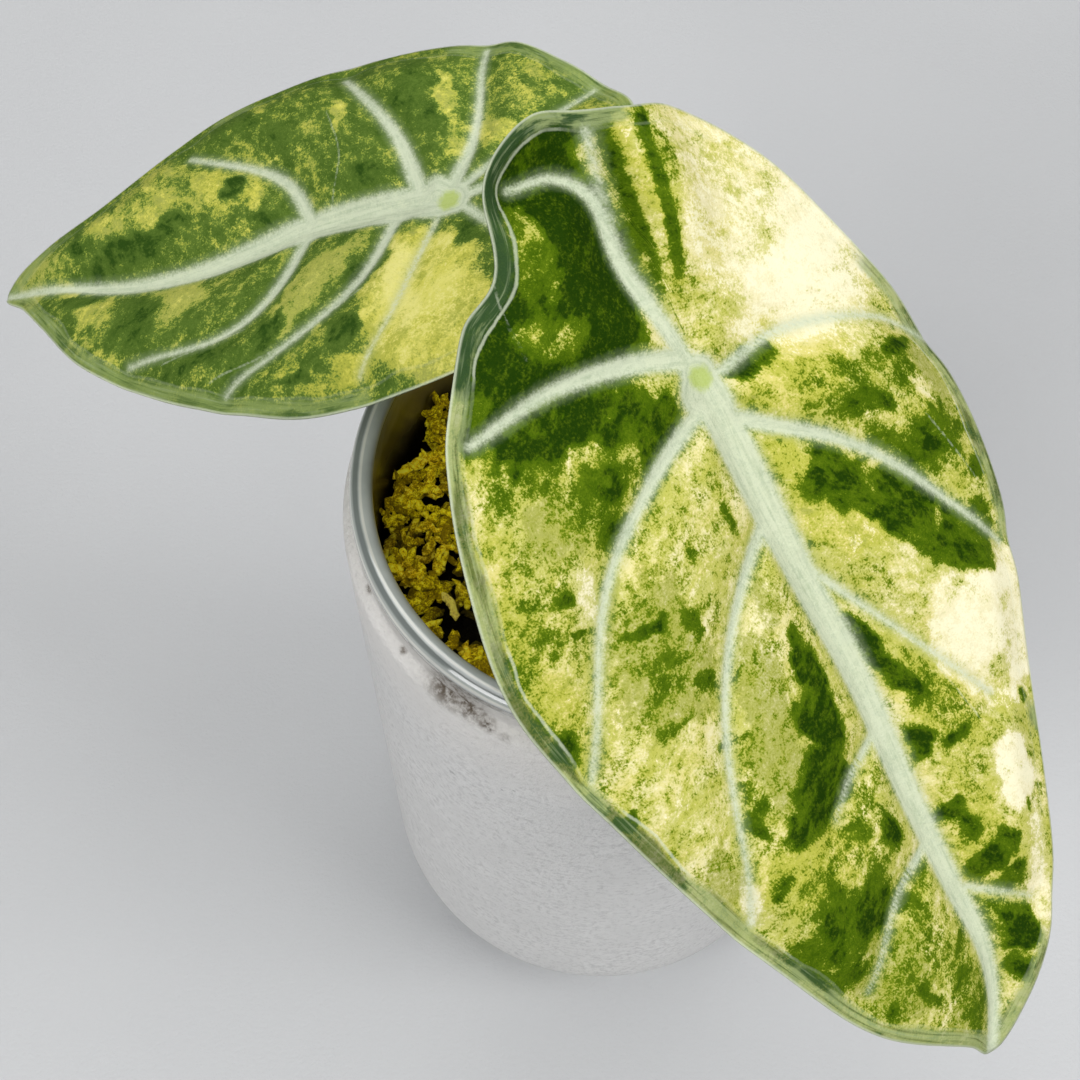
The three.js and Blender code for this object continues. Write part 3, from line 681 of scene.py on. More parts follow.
def painted(base, strokes, u, v):
    """Each stroke draws the level towards its own: level += w (own - level), w from its ellipse."""
    u = u + RAGGED * clouds(u, v, RAGGED_SIZE, 21, 3)
    v = v + RAGGED * clouds(u, v, RAGGED_SIZE, 41, 3)
    level = np.full(u.shape, float(base))
    for own, pu, pv, long, wide, soft, *turned_by in strokes:
        turn = np.radians(sum(turned_by))
        along = (u - pu) * np.cos(turn) + (v - pv) * np.sin(turn)
        across = (v - pv) * np.cos(turn) - (u - pu) * np.sin(turn)
        inside = 1 - np.hypot(along / long, across / wide)
        level += smooth(inside, -0.35 * soft, 0.8 * soft) * (own - level)
    return level


# %% [markdown]
# ## The leaves: the fine blade
# The blade is one grid of the formula for its face and one for its underside, about half a
# millimetre below, joined round the margin. The real blade is thinner still. Each point also
# carries the numbers that the finish reads: its distance to the nearest vein's edge and to
# the margin, and the painted levels.

# %% Make a blade
BLADE_THICKNESS = 0.55
FINE_ALONG, FINE_ACROSS = 240, 176
SEAT_U, SEAT_V, SEAT_RADIUS = 1.5, -0.5, 2.4  # the pale disc where the veins meet
VEIN_GROOVE, VEIN_RIDGE = 0.12, 0.35  # a vein's depth in the face, and its height below
ROUNDED, EDGE_SHARE = 0.5, 0.25  # the margin is rounded from here, to this share of thickness
UNDERSIDE_SHIFT = 40.0  # keeps the noise of the underside apart from the face's
OUTLINE_LENGTH = 250  # about the front leaf's, so that a unit round it is about a millimetre
FLOW_RIGHT, FLOW_LEFT, FLOW_STRETCH = 45, -48, 0.6  # degrees the marbling runs at, and its pull


def rib_and_nearest(blade, u, v):
    """Distance to the nearest vein's edge, below nought inside it, and to the nearest vein's line."""
    nearest, along = distance_to(blade.midline, u, v)
    wide, narrow = blade.midrib_widths
    rib = nearest - (wide + (narrow - wide) * along)
    for line, width in zip(blade.lines, blade.vein_widths):
        away, part = distance_to(line, u, v)
        nearest = np.minimum(nearest, away)
        rib = np.minimum(rib, away - width * (1.15 - 0.75 * part))
    return np.minimum(rib, np.hypot(u - SEAT_U, v - SEAT_V) - SEAT_RADIUS), nearest


def flow_of(blade, u, v):
    """(u, v) turned to run out from the midrib, and drawn out along that run."""
    middle = np.interp(u, blade.midline[:, 0], blade.midline[:, 1])
    turn = np.radians(np.where(v > middle, FLOW_RIGHT, FLOW_LEFT))
    along = u * np.cos(turn) + v * np.sin(turn)
    return FLOW_STRETCH * along, v * np.cos(turn) - u * np.sin(turn)


def blade_faces(rows, columns):
    """Quads of the face, of the strip round the margin and of the underside."""
    low = rows * columns
    index = np.arange(low).reshape(rows, columns)
    ring = np.concatenate([index[0, :-1], index[:-1, -1], index[-1, :0:-1], index[:0:-1, 0]])
    next_one = np.roll(ring, -1)
    strip = np.stack([ring, ring + low, next_one + low, next_one], -1)
    return grid_faces(rows, columns), strip, grid_faces(rows, columns, start=low)[:, ::-1]


def make_blade(name, leaf, strokes, finishes):
    """One leaf as a closed mesh that carries the fields which its finish reads."""
    blade = Blade(leaf)
    u, v = blade.grid(FINE_ALONG, FINE_ACROSS)
    rib, nearest = rib_and_nearest(blade, u, v)
    thread = np.min([distance_to(curve_through(line), u, v)[0] for line in blade.threads], axis=0)
    height = blade.height(u, v, nearest) - VEIN_GROOVE * smooth(-rib, -0.2, 0.5)
    margin, round_edge = distance_to(np.vstack([blade.edge, blade.edge[:1]]), u, v)
    rounding = 1 - (1 - EDGE_SHARE) * (1 - smooth(margin, 0, ROUNDED))
    half = 0.5 * BLADE_THICKNESS
    face = blade.place(u, v, height - half * (1 - rounding))
    under = blade.place(u, v, height - half * (1 + rounding) - VEIN_RIDGE * smooth(-rib, -0.4, 0.6))
    run, across = flow_of(blade, u, v)
    sides = np.repeat([0.0, UNDERSIDE_SHIFT], u.size)
    both = lambda values: np.concatenate([values.ravel(), values.ravel()])
    on_both = lambda a, b: np.stack([both(a), both(b), sides], -1)
    attributes = {
        "spot": on_both(u, v), "flow": on_both(run, across),
        "strand": on_both(rib, np.hypot(u, v)),
        "margin_run": on_both(margin, round_edge * OUTLINE_LENGTH),
        "rib": both(rib), "margin": both(margin), "thread": both(thread),
        **{tone: both(painted(*strokes[tone], u, v)) for tone in strokes},
    }
    faces = blade_faces(*u.shape)
    slots = np.repeat([0, 0, 1], [len(part) for part in faces])
    points = np.concatenate([face.reshape(-1, 3), under.reshape(-1, 3)])
    piece = surface(name, points, np.concatenate(faces), finishes, slots, attributes)
    print(name, "points", len(points), "quads", len(slots))
    return piece


# %% [markdown]
# ## The leaves: the velvety, marbled finish
# Fields of cloudy noise, from blotches to specks, are added to each painted level, and the
# sum runs through the leaf's tones in turn: white, cream or yellow, straw or lime, a wash,
# olive, green, deep green, dark green. The minty veins lie over it with soft, streaked edges,
# and the margin has its own band. The face is matt with a fine relief, because velvet hairs
# too small to model scatter the light.


# %% Leaf finish
def leaf_fields(look):
    """Places on the leaf, and noise from blotches to specks."""
    spot, flow, strand = (look.attribute(key, "Vector") for key in ("spot", "flow", "strand"))
    return SimpleNamespace(
        spot=spot, flow=flow, strand=strand,
        blotch=look.noise(flow, 2.4, 5, 0.68, 0.4),
        fleck=look.noise(spot, 0.7, 5, 0.72),
        speck=look.noise(spot, 0.2, 2, 0.6),
        other=look.noise(flow, 2.0, 5, 0.7, 0.6),
    )


def darkness(look, f, stripes):
    """How far the marbling runs to the dark tones: painted level, the fold's stripes and noise."""
    base = look.attribute("dark")
    u = look.part(f.spot, 0)
    fold = look.part(f.spot, 1) + 0.22 * f.other + 0.15 * f.fleck
    along_fold = (u + 2 * f.blotch).step(-25, -22) * (1 - (u + 3 * f.blotch).step(-12, -5))
    for own, middle, slope, half in stripes:
        away = abs(fold - (u + 15) * slope - middle)
        inside = (1 - away.step(half * 0.4, half * 1.5)) * along_fold
        base = base + inside * (own - base)
    lobes = 0.45 - look.cells(f.flow, 1.1) + 0.5 * (0.45 - look.cells(f.spot, 0.45))
    return base + 0.5 * f.blotch + 0.5 * lobes + 0.55 * f.fleck + 0.4 * f.speck


def marbling(look, f, level):
    """The leaf's tones in turn, from white to dark green, and fine dots over the pale ones."""
    warm = (look.attribute("warm") + 0.7 * f.other).step(-0.8, 0.8)
    look.tint = look.mix(warm, "cream", "yellow")
    look.lay((-0.7 - level).step(0, 0.6) * 0.8, "white")
    pale = (level + 0.2 * f.other + 0.5 * look.noise(f.flow, 4.5, 3)).step(-0.85, -0.15)
    look.lay(pale * 0.85, look.mix(warm, "straw", "lime"))
    soft = (look.attribute("wash") + 0.7 * f.other + 0.4 * f.fleck).step(-0.2, 0.4)
    look.lay(soft * (0.5 + 0.4 * (f.fleck + f.speck).step(-1.2, 0.8)), "wash")
    look.lay(level.step(-0.22, 0.06) * 0.75, "olive")
    look.lay(level.step(0.0, 0.2) * 0.95, "green")
    mottle = 0.6 * f.fleck + 0.5 * f.speck + 0.6 * f.other
    look.lay(level.step(0.22, 0.42), look.mix(mottle.step(-0.3, 0.9) * 0.7, "deep", "green"))
    look.lay((level - 0.6 * mottle).step(0.75, 1.15) * 0.9, "dark")
    grain = 0.7 * look.noise(f.spot, 0.32, 3, 0.7) + 0.7 * look.noise(f.flow, 0.9, 4, 0.7)
    dots = look.mix(level.step(0.0, 0.4), "olive", "green")
    look.lay(grain.step(-0.1, 0.9) * (0.12 + 0.4 * pale), dots)


def margin_over(look, f):
    """The ragged, streaked band inside the margin, its inner thread, and the pale edge."""
    margin = look.attribute("margin") + 0.4 * look.noise(f.spot, 7, 1)
    side = look.attribute("band") + 0.3 * f.blotch
    ragged = margin + 0.16 * f.fleck + 0.14 * f.other
    band = (1 - ragged.step(1.1, 1.8)) * side.step(-0.8, -0.2)
    run = look.attribute("margin_run", "Vector")
    lines = look.noise(look.scaled(run, (3.2, 0.12, 1)), 1, 2)
    patches = look.noise(look.scaled(run, (0.7, 0.09, 1)), 1, 4)
    edging = look.mix((side + 1.1 * patches).step(0.1, 0.7), "pale_band", "dark_band")
    edging = look.mix(lines.step(0.0, 0.9) * 0.6, edging, "haze")
    edging = look.mix((1 - lines.step(-0.8, 0.0)) * 0.8, edging, "dark_band")
    look.lay(band * 0.8, edging)
    inner = 1 - abs(margin - 1.65 - 0.1 * f.other).step(0.04, 0.2)
    inner = inner * (0.1 + 0.45 * side.step(0.1, 0.7))
    fine = (1 - (look.attribute("thread") + 0.1 * f.fleck).step(0.03, 0.16)) * 0.3
    edge = (1 - look.attribute("margin").step(0.05, 0.28)) * 0.7
    look.lay(inner.most(edge).most(fine), "vein")


def veins_over(look, f):
    """The minty veins, streaked along their run, with a haze at their edges."""
    rib = look.attribute("rib")
    fuzz = look.noise(look.scaled(f.strand, (0.6, 1.5, 1)), 1, 3)
    look.lay((1 - (rib + 0.1 * fuzz + 0.2 * f.fleck).step(0.0, 0.9)) * 0.25, "haze")
    vein = 1 - (rib + 0.06 * fuzz + 0.14 * f.speck + 0.12 * f.fleck).step(-0.5, 0.3)
    streak = look.noise(look.scaled(f.strand, (3.0, 0.16, 1)), 1, 3)
    shade = (streak + 0.5 * f.fleck + 0.3 * f.speck).step(-0.5, 1.1)
    look.lay(vein * 0.93, look.mix(shade * 0.75, "vein", "vein_shade"))


def leaf_finish(name, tones, stripes):
    look = Finish(name, tones, 0.7, Specular_IOR_Level=0.02)
    f = leaf_fields(look)
    marbling(look, f, darkness(look, f, stripes))
    margin_over(look, f)
    veins_over(look, f)
    look.lay((1 - (look.away(f.spot, (0.3, 0.1, 0)) + 0.3 * f.fleck).step(0.7, 1.5)) * 0.7, "seat")
    look.colour()
    look.roughness(0.7 + 0.07 * f.speck)
    look.bump(0.6 * f.speck + 0.5 * f.fleck, 0.05, 0.7)
    return look.material


def underside_finish(name, tones):
    """Guessed: plain pale and mid green that follow the face's dark parts, and its veins."""
    look = Finish(name, tones, 0.55, Specular_IOR_Level=0.3)
    fleck = look.noise(look.attribute("spot", "Vector"), 1.2, 4, 0.65)
    dark = (look.attribute("dark") + 0.4 * fleck).step(-0.5, 0.7)
    look.tint = look.mix(dark, "under_pale", "under_green")
    look.lay(1 - (look.attribute("rib") + 0.12 * fleck).step(-0.3, 0.3), "vein")
    look.colour()
    look.bump(fleck, 0.06, 0.6)
    return look.material


# %% Leaf tones, and the two leaves
FRONT_TONES = dict(
    white=(0.88, 0.84, 0.60), cream=(0.80, 0.74, 0.47), yellow=(0.64, 0.58, 0.17),
    straw=(0.54, 0.53, 0.15), lime=(0.41, 0.43, 0.05), wash=(0.32, 0.34, 0.075),
    olive=(0.25, 0.29, 0.016), green=(0.12, 0.19, 0.006), deep=(0.045, 0.095, 0.0015),
    dark=(0.008, 0.030, 0.001), seat=(0.36, 0.46, 0.05), haze=(0.30, 0.37, 0.20),
    pale_band=(0.29, 0.35, 0.15), dark_band=(0.037, 0.076, 0.027),
    vein=(0.57, 0.62, 0.46), vein_shade=(0.37, 0.44, 0.30),
    under_pale=(0.42, 0.46, 0.22), under_green=(0.13, 0.20, 0.08),
)
# The rear leaf's greens are lighter and greyer than the front leaf's: partly its own colour, partly a
# painted sheen where its velvet is seen at a slant.
REAR_TONES = dict(
    FRONT_TONES, white=(0.74, 0.70, 0.24), cream=(0.72, 0.68, 0.20), yellow=(0.57, 0.55, 0.085),
    straw=(0.45, 0.465, 0.09), lime=(0.36, 0.38, 0.055), wash=(0.32, 0.35, 0.08),
    olive=(0.206, 0.277, 0.036), green=(0.119, 0.19, 0.03), deep=(0.056, 0.108, 0.014),
    dark=(0.020, 0.055, 0.006), pale_band=(0.22, 0.29, 0.09), dark_band=(0.06, 0.11, 0.03),
)

for node, leaf, strokes, tones, slot in (
    ("leaf_front", FRONT, FRONT_STROKES, FRONT_TONES, "leaf_pale"),
    ("leaf_rear", REAR, REAR_STROKES, REAR_TONES, "leaf_green"),
):
    finishes = [leaf_finish(node + "_face", tones, leaf["stripes"]),
                underside_finish(node + "_under", tones)]
    dress(make_blade(node + "_fine", leaf, strokes, finishes), node)

# %% [markdown]
# ## The stalks and the stem
# On the plant the fleshy stalks carry the leaves and wrap their feet round a short stem. All
# but a hint of them is hidden in the photograph, so their routes are guessed. Each is a
# tapering tube along the same route as its solid, because a stalk is round and bends
# smoothly, and it widens at its foot. Its finish is lime green with fine streaks along it.

# %% Stalks
STALK_GAP = 0.05
STALK_SIDES = 24
STALK_LEAD = 4  # length of the straight end under the blade
STALK_ROUTES = {
    "petiole_front": (FRONT, [(2.4, -1, 88), (2.7, -1, 96), (2.2, 0.2, 112), (1.6, -2.2, 128)]),
    "petiole_rear": (REAR, [(-2.4, 1, 88), (-2.9, 1.4, 96), (-6.5, 6.5, 110), (-13, 15.5, 122)]),
}
STALK_TONES = dict(lime=(0.40, 0.50, 0.10), green=(0.24, 0.34, 0.06), sheath=(0.44, 0.40, 0.20))


def stalk_finish():
    look = Finish("stalk", STALK_TONES, 0.38, Specular_IOR_Level=0.45, Coat_Weight=0.1)
    place = look.place()
    streak = look.noise(look.scaled(place, (1, 1, 0.12)), 0.5, 3)
    look.tint = look.mix(streak.step(-0.8, 0.9), "lime", "green")
    look.lay((1 - (look.part(place, "Z") + 3 * streak).step(96, 112)) * 0.7, "sheath")
    look.colour()
    look.bump(streak, 0.06, 0.7)
    return look.material


stalk_material = stalk_finish()
for node, (leaf, route) in STALK_ROUTES.items():
    blade = Blade(leaf)
    end = blade.origin - blade.normal * (BLADE_THICKNESS + STALK_GAP)
    path = curve_through([*route, end - STALK_LEAD * blade.normal, end], steps=14)
    part = np.linspace(0, 1, len(path))
    sheath, flare = 0.9 * (1 - smooth(part, 0.05, 0.4)), 0.9 * smooth(part, 0.95, 1.0)
    rings = tube(path, 1.3 + 0.25 * (1 - part) + sheath + flare, STALK_SIDES)
    closed = np.concatenate([[path[0]] * STALK_SIDES, rings, [path[-1]] * STALK_SIDES])
    quads = grid_faces(len(path) + 2, STALK_SIDES, wrap_columns=True)
    dress(surface(node + "_fine", closed, quads, [stalk_material]), node)
    print(node, "rings", len(path))


# %% [markdown]
# ## Turned pieces
# The stem, the pot and the bed of mix are round, so each is a profile turned about the pot's
# axis, as on a lathe. The stem is hidden under the leaves, and its form is guessed.

# %% Turn a profile
def turned(name, profile, sides, materials, slots_of=None, shape=None):
    """Rings (r cos a, r sin a, z) of a profile of (radius, height) from axis to axis."""
    profile = np.asarray(profile, float)
    angle = np.linspace(0, 2 * np.pi, sides, endpoint=False)
    radius, height = profile[:, :1], profile[:, 1:]
    points = np.stack([radius * np.cos(angle), radius * np.sin(angle), height + 0 * angle], -1)
    if shape is not None:
        points = shape(points, angle)
    quads = grid_faces(len(profile), sides, wrap_columns=True)
    slots = None
    if slots_of is not None:
        slots = np.repeat(slots_of(profile), sides)
    return surface(name, points.reshape(-1, 3), quads, materials, slots)


def bend(centre, radius, start, stop, steps):
    """Points of a round or, with two radii, an oval arc from start to stop degrees."""
    wide, high = np.broadcast_to(radius, 2)
    angle = np.radians(np.linspace(start, stop, steps + 1))
    return list(zip(centre[0] + wide * np.cos(angle), centre[1] + high * np.sin(angle)))


# %% Stem
STEM_TONES = dict(olive=(0.30, 0.33, 0.10), dry=(0.16, 0.12, 0.05))


def stem_finish():
    look = Finish("stem", STEM_TONES, 0.55)
    streak = look.noise(look.scaled(look.place(), (1, 1, 0.2)), 0.8, 4)
    look.tint = look.mix(streak.step(-0.7, 0.8), "olive", "dry")
    look.colour()
    look.bump(streak, 0.12, 0.8)
    return look.material


stem_profile = [
    (0, 78), (3, 78), (4.4, 79.5), (5.4, 86), (5.4, 91), (4.9, 94), (5.1, 96), (4.4, 99), (0, 99.4),
]
stem_curve = curve_through(stem_profile, steps=6)
stem_curve[:, 0] = np.maximum(stem_curve[:, 0], 0)
dress(turned("stem_fine", stem_curve, 48, [stem_finish()]), "stem_base")
print("stem rings", len(stem_curve))

# %% [markdown]
# ## The pot
# It is read as a thick glass tumbler, such as a press makes in one stroke. Its outside is
# coated light grey and grainy like stone up to the foot of the lip, as a sprayed coat would
# be, and painted lighter towards the shoulder, as painted light. The lip is bare, with two
# pale rings and a dark one where it catches the light: the pale rings are painted highlights,
# the dark ring a painted dark reflection, and the dark band on its outer flank painted shade.
# The glass is drawn as an opaque surface: the coat hides what is behind it, and the rings are
# painted. The wall inside is painted dark low down, as painted shade of the filling, and paler
# at the top, as painted light.

# %% Pot finishes
COAT_TOP = 105.9  # height of the coat's upper edge, in mm
BORE = 26.8  # radius of the bore, as in the solid
LIP_FOOT = 106.5  # height of the bare lip's lower edge inside, in mm
# Painted light on the lip: the pale rings are painted highlights, and the dark ring between them a painted
# dark reflection.
PAINTED_HIGHLIGHT_RINGS = [(27.6, 0.2), (28.75, 0.14)]  # radius, half width
PAINTED_DARK_REFLECTION_RINGS = [(28.15, 0.42)]
# Place and size of dark smudges: six from the photograph, and one on the side that it hides.
SMUDGES = [((-18.2, -22.3, 103.6), 3.2), ((-15.8, -24.2, 103.6), 2.6), ((-14.1, -25.9, 102.7), 1.3),
           ((-12.2, -26.7, 102), 1.0), ((-26.5, -11.0, 103.3), 0.7), ((-22.8, -17.9, 103.2), 0.6),
           ((22, 19, 101), 3)]
COAT_TONES = dict(
    grey=(0.74, 0.735, 0.725), pale=(0.82, 0.815, 0.805), grain=(0.46, 0.455, 0.45),
    grit=(0.86, 0.855, 0.84), upper=(0.86, 0.83, 0.79), spot=(0.12, 0.115, 0.12),
    edge=(0.48, 0.465, 0.43), smudge=(0.085, 0.06, 0.035),
)
LIP_TONES = dict(
    glass=(0.36, 0.385, 0.37), clearer=(0.46, 0.485, 0.46), dark_ring=(0.12, 0.14, 0.135),
    pale_ring=(0.66, 0.66, 0.60), flank=(0.14, 0.155, 0.15),
)
# The shade tone and the top tone are painted shade low down and painted light at the top of the wall
# inside.
BORE_TONES = dict(shade=(0.012, 0.010, 0.003), tinted=(0.24, 0.20, 0.07), top=(0.56, 0.54, 0.44))


def coat_finish():
    look = Finish("pot_coat", COAT_TONES, 0.8, Specular_IOR_Level=0.25)
    place = look.place()
    cloud = look.noise(place, 9, 3, 0.55)
    grain = look.noise(place, 0.8, 5, 0.72)
    grit = look.cells(place, 0.5)
    height = look.part(place, "Z")
    look.tint = look.mix(cloud.step(-1, 1), "grey", "pale")
    look.lay((grain + 0.3 * cloud).step(-0.2, 0.8) * 0.5, "grain")
    look.lay((1 - grit.step(0.1, 0.32)) * 0.3, "grit")
    # painted light: the coat is lighter and warmer towards the shoulder, where more light falls on it
    look.lay((height + 2 * cloud).step(84, 102) * 0.6, "upper")
    spots = (look.noise(place, 2.2, 2, 0.5) + 0.3 * grain).step(0.98, 1.1)
    look.lay(spots * (height + 8 * cloud).step(70, 104) * 0.75, "spot")
    look.lay((height + 0.8 * cloud + 0.5 * grain).step(101, 104.6) * 0.6, "edge")
    for middle, size in SMUDGES:
        near = 1 - (look.away(place, middle) + 0.2 * size * cloud).step(0.1 * size, 1.15 * size)
        look.lay(near * (0.3 + 0.65 * (grain + 0.4 * cloud).step(-0.6, 0.4)), "smudge")
    look.colour()
    look.roughness(0.78 + 0.1 * grain)
    look.bump(grain + 0.8 * (1 - grit.step(0, 0.4)), 0.10, 0.8)
    return look.material


def lip_finish():
    look = Finish("pot_lip", LIP_TONES, 0.1, Specular_IOR_Level=0.6, Coat_Weight=0.7)
    place = look.place()
    across = look.away(look.scaled(place, (1, 1, 0)), (0, 0, 0))
    cloud = look.noise(place, 5, 3)
    look.tint = look.mix(cloud.step(-1, 1), "glass", "clearer")
    # painted dark reflection: a dark ring between the highlights
    for ring, width in PAINTED_DARK_REFLECTION_RINGS:
        line = 1 - abs(across - ring - 0.04 * cloud).step(width * 0.4, width)
        look.lay(line * 0.8, "dark_ring")
    # painted highlights: pale rings where the lip catches the light
    for ring, width in PAINTED_HIGHLIGHT_RINGS:
        line = 1 - abs(across - ring - 0.03 * cloud).step(width * 0.4, width)
        look.lay(line * (0.75 + 0.2 * cloud), "pale_ring")
    # painted shade: a dark band on the lip's outer flank, below its top
    flank = across.step(28.5, 28.7) * (1 - look.part(place, "Z").step(106.9, 107.4))
    look.lay(flank * 0.8, "flank")
    look.colour()
    return look.material


def bore_finish():
    look = Finish("pot_bore", BORE_TONES, 0.25, Specular_IOR_Level=0.4)
    place = look.place()
    cloud = look.noise(place, 3, 4)
    height = look.part(place, "Z") + 0.8 * cloud
    # painted shade: the wall darkens low down in the bore
    look.tint = look.mix(height.step(91, 103), "shade", "tinted")
    # painted light: the wall is paler towards the top
    look.lay(height.step(100.5, 107), "top")
    look.colour()
    look.bump(cloud, 0.05, 0.3)
    return look.material


# %% Pot shape
LIP_MIDDLE, LIP_WIDE, LIP_HIGH = (27.6, 107.0), 1.25, 1.0
pot_profile = [
    (0, 0), (6, 0), (12.6, 0),
    *bend((13, 17), 17, -90, 0, 26),
    *[(30, z) for z in np.linspace(20, 100.5, 24)],
    *bend((27.9, 101.4), 2.1, 0, 68, 8),
    (28.75, 104.3), (28.62, 104.8), (28.6, 105.2), (28.75, 105.7),
    *bend(LIP_MIDDLE, (LIP_WIDE, LIP_HIGH), -10, 180, 20), (26.4, 106.6), (26.6, 106.1),
    *[(BORE, z) for z in np.linspace(105.4, 20, 30)],
    *bend((14.8, 18), 12, 0, -90, 14),
    (0, 6),
]


def pot_slots(profile):
    """Material number of each ring of quads: coat outside, bare lip above it, bore inside."""
    middle = (profile[:-1] + profile[1:]) / 2
    slots = np.where(middle[:, 1] > COAT_TOP, 1, 0)
    top = np.argmax(profile[:, 1])
    inside = np.arange(len(middle)) > top
    return np.where(inside & (middle[:, 1] < LIP_FOOT), 2, slots)


POT_SIDES = 192
pot_finishes = [coat_finish(), lip_finish(), bore_finish()]
pot = turned("pot_fine", pot_profile, POT_SIDES, pot_finishes, pot_slots)
dress(pot, "pot")
print("pot points", len(pot.data.vertices))

# %% [markdown]
# ## The filling
# The real pot is filled with a dark mix and covered with golden moss, as growers do to keep
# the mix damp. What the mix is made of is guessed. It shows only as black gaps, so a turned
# bed with small lumps is enough. The moss is about a thousand plump, crooked strands, each a
# tube with a lumpy skin, heaped in tufts: loose strands, since a single rumpled sheet would
# have no gaps to see into. They are worked out at once, as one array of shape strand, ring,
# side.

# %% Potting mix
MIX_RADIUS = 26.4
MIX_SIDES = 128
MIX_SURFACE = 89  # points of the mix above this height, in mm, are its top
MIX_TONES = dict(dark=(0.004, 0.0035, 0.002), bark=(0.022, 0.017, 0.007))


def mix_finish():
    look = Finish("potting_mix", MIX_TONES, 0.9, Specular_IOR_Level=0.05)
    lump = look.noise(look.place(), 2.2, 5, 0.65)
    look.tint = look.mix(lump.step(-0.6, 1.2), "dark", "bark")
    look.colour()
    look.bump(lump, 0.6)
    return look.material


def rolling(x, y):
    """The moss bed's roll, as on the solid: sin(0.34x+1) cos(0.29y-0.4) + sin(0.61(x-y))/2."""
    return np.sin(0.34 * x + 1) * np.cos(0.29 * y - 0.4) + 0.5 * np.sin(0.61 * (x - y))


def lumpy_bed(points, angle):
    """Raises the top of the mix: a roll, and small lumps that fade out at the wall."""
    x, y, z = points[..., 0], points[..., 1], points[..., 2]
    radius = np.hypot(x, y)
    lumps = np.sin(1.9 * x + 0.7 * y) * np.sin(2.3 * y - 0.4 * x) + 0.6 * np.sin(3.1 * x - 2.2 * y)
    lift = (0.6 * rolling(x, y) + 0.7 * lumps) * smooth(MIX_RADIUS - radius, 0, 3)
    points[..., 2] = z + lift * (z > MIX_SURFACE)
    return points


mix_profile = [
    (0, 6.3), (6, 6.3), *bend((14.4, 18.4), 12, -90, 0, 10), (MIX_RADIUS, 60), (MIX_RADIUS, 90.5),
    *[(r, 91) for r in np.linspace(MIX_RADIUS - 0.4, 0.01, 60)], (0, 91),
]
mix = turned("potting_mix_fine", mix_profile, MIX_SIDES, [mix_finish()], shape=lumpy_bed)
dress(mix, "potting_mix")
print("mix points", len(mix.data.vertices))

# %% Moss strands
TRIED = 1900  # strands drawn, of which about half fall in a tuft and are kept
STRAND_LENGTH, STRAND_WIDTH = (2.0, 4.8), (0.65, 1.25)
BED_LEVEL, BED_LOW, BED_HIGH = 93.4, -2.4, 2.0  # the heap's middle, and its spread about it
STEM_CLEAR = 6.2  # no strand's middle lies nearer to the pot's axis
STRAND_UP = [0.1, 0.2, 0.97]  # a direction near upright, which the strands' sides are set by
RINGS, SIDES = 10, 6
# Painted light: the moss gives off its own colour as a glow, so that it looks lit in the shade under the
# leaves.
PAINTED_GLOW = 0.2  # stands in for light that seeps through the thin strands
random = np.random.default_rng(7)


def strands(count):
    """Crooked, lumpy tubes heaped on a rolling bed: points of shape (kept, rings, sides, 3)."""
    reach = MIX_RADIUS * 0.98 * np.sqrt(random.random(count))
    turn = 2 * np.pi * random.random(count)
    x, y = reach * np.cos(turn), reach * np.sin(turn)
    tufts = clouds(x, y, 4.5, 5, 2)
    creep = smooth(reach, 19, 25)
    ragged = random.uniform(-0.45, 0.45, count)
    keep = (reach > STEM_CLEAR) & (tufts + 0.35 * creep + ragged > 0.05)
    x, y, tufts, creep = x[keep], y[keep], tufts[keep], creep[keep]
    count = len(x)
    heading = 2 * np.pi * random.random(count)
    crook = random.normal(0, 0.9, count)
    pitch = random.normal(0, 0.35, count)
    long = random.uniform(*STRAND_LENGTH, count)
    t = np.linspace(-0.5, 0.5, RINGS)
    angle = heading[:, None] + crook[:, None] * t * 2
    step = long[:, None] / (RINGS - 1)
    dx, dy = np.cos(angle) * step, np.sin(angle) * step
    rise = np.tan(pitch)[:, None] * t * long[:, None]
    path = np.stack([np.cumsum(dx, 1), np.cumsum(dy, 1), rise], -1)
    path -= path.mean(1, keepdims=True)
    height = BED_LEVEL + 1.2 * rolling(x, y) + 1.2 * tufts + 1.6 * creep
    height = height + random.uniform(BED_LOW, BED_HIGH, count)
    path += np.stack([x, y, height], -1)[:, None]
    path[..., 2] += 0.5 * np.sin(3 * t + 6 * random.random((count, 1)))
    path += random.normal(0, 0.11, path.shape)
    ahead = np.gradient(path, axis=1)
    ahead /= np.linalg.norm(ahead, axis=-1, keepdims=True)
    side = np.cross(ahead, STRAND_UP)
    side /= np.linalg.norm(side, axis=-1, keepdims=True)
    up = np.cross(ahead, side)
    around = np.linspace(0, 2 * np.pi, SIDES, endpoint=False)
    girth = random.uniform(*STRAND_WIDTH, count)[:, None] * np.sqrt(np.clip(1.02 - (2 * t) ** 4, 0.02, 1))
    lumps = girth[..., None] * random.uniform(0.6, 1.35, (count, RINGS, SIDES))
    ring = np.cos(around)[:, None] * side[:, :, None] + np.sin(around)[:, None] * up[:, :, None]
    points = path[:, :, None] + lumps[..., None] / 2 * ring
    flat = np.hypot(points[..., 0], points[..., 1])
    points[..., :2] *= np.minimum(1, MIX_RADIUS / flat)[..., None]
    return points


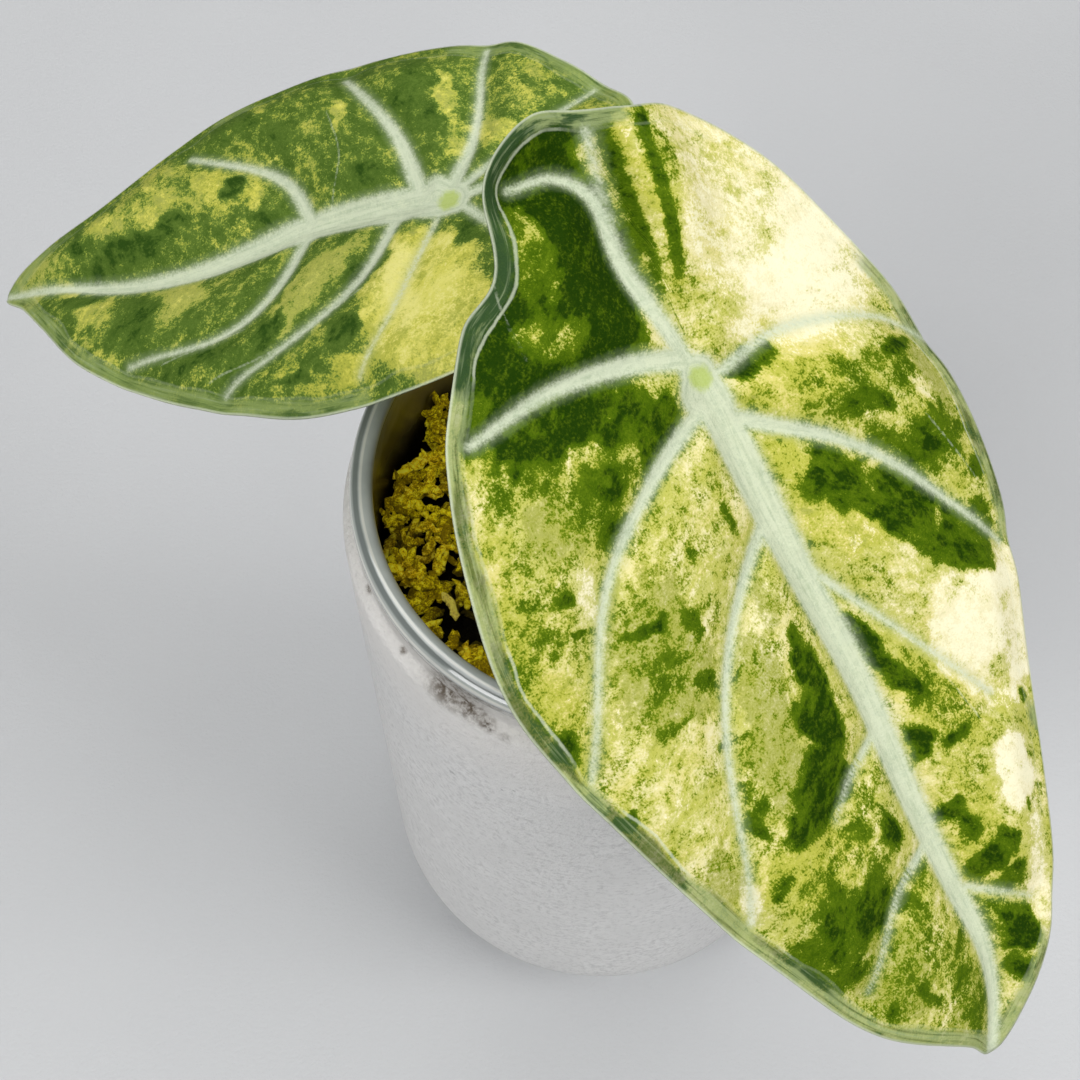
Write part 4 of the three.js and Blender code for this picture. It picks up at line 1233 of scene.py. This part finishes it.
def moss_piece(name, points, material):
    """One mesh of all the strands, each a wrapped grid closed by a point at both ends."""
    count = len(points)
    ends = points.mean(2, keepdims=True)
    first, last = (np.repeat(end, SIDES, 2) for end in (ends[:, :1], ends[:, -1:]))
    capped = np.concatenate([first, points, last], 1)
    each = (RINGS + 2) * SIDES  # points in a strand
    one = grid_faces(RINGS + 2, SIDES, wrap_columns=True)
    quads = (one[None] + (np.arange(count) * each)[:, None, None]).reshape(-1, 4)
    fields = {
        "shade": np.repeat(random.random(count), each),
        # lift: each point's height within its ring, which the finish reads to paint shade on the lower side
        # of each strand
        "lift": (capped[..., 2] - capped[..., 2].mean(-1, keepdims=True)).ravel(),
    }
    piece = surface(name, capped.reshape(-1, 3), quads, [material], attributes=fields)
    print(name, "strands", count, "quads", len(quads))
    return piece


# The flank tone is painted shade on the lower side of each strand, and the depth tone is painted shade low
# in the heap, darkening towards black.
MOSS_TONES = dict(
    bright=(1.0, 0.90, 0.08), light=(0.98, 0.80, 0.008), ochre=(0.92, 0.58, 0.004),
    dark=(0.24, 0.165, 0.002), straw=(0.62, 0.55, 0.20), flank=(0.05, 0.042, 0.003),
    depth=(0.02, 0.016, 0.003),
)


def moss_finish(name, tones):
    look = Finish(name, tones, 0.75, Specular_IOR_Level=0.1, Emission_Strength=PAINTED_GLOW)
    place = look.place()
    scale = look.noise(place, 0.5, 3, 0.6)
    cloud = look.noise(place, 4, 2)
    grain = look.noise(place, 0.16, 2, 0.6)
    shade = look.attribute("shade")
    tone = (0.9 * shade + 0.7 * scale + 0.5 * grain + 0.4 * cloud).step(-0.1, 1.1)
    lit = look.mix((cloud + 0.6 * scale).step(-0.6, 0.5), "ochre", "light")
    look.tint = look.mix(tone, "dark", lit)
    look.lay((scale + 0.8 * shade + 0.6 * grain).step(0.5, 1.6) * 0.7, "bright")
    look.lay(shade.step(0.993, 0.996), "straw")
    # painted shade on the lower side of each strand
    look.lay((1 - (look.attribute("lift") + 0.08 * scale).step(-0.2, 0.3)) * 0.85, "flank")
    # painted shade: strands low in the heap darken towards black, as in the deep gaps
    look.lay((1 - (look.part(place, "Z") + 0.6 * scale).step(91.6, 95.6)) * 0.95, "depth")
    look.colour()
    # painted glow: the tint is given off as light too
    look.put(look.shader.inputs["Emission Color"], look.tint)
    look.bump(scale + 0.4 * grain, 0.2)
    return look.material


heap = strands(TRIED)
dress(moss_piece("moss_fine", heap, moss_finish("moss", MOSS_TONES)), "moss")

# %% [markdown]
# ## Close the lesson
# The box of the dressed model is kept beside the solids' box, so the two can be compared.

# %% Finish
({"cad": [list(map(float, corner)) for corner in cad_box],
           "visual": [list(map(float, corner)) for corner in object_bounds()]})
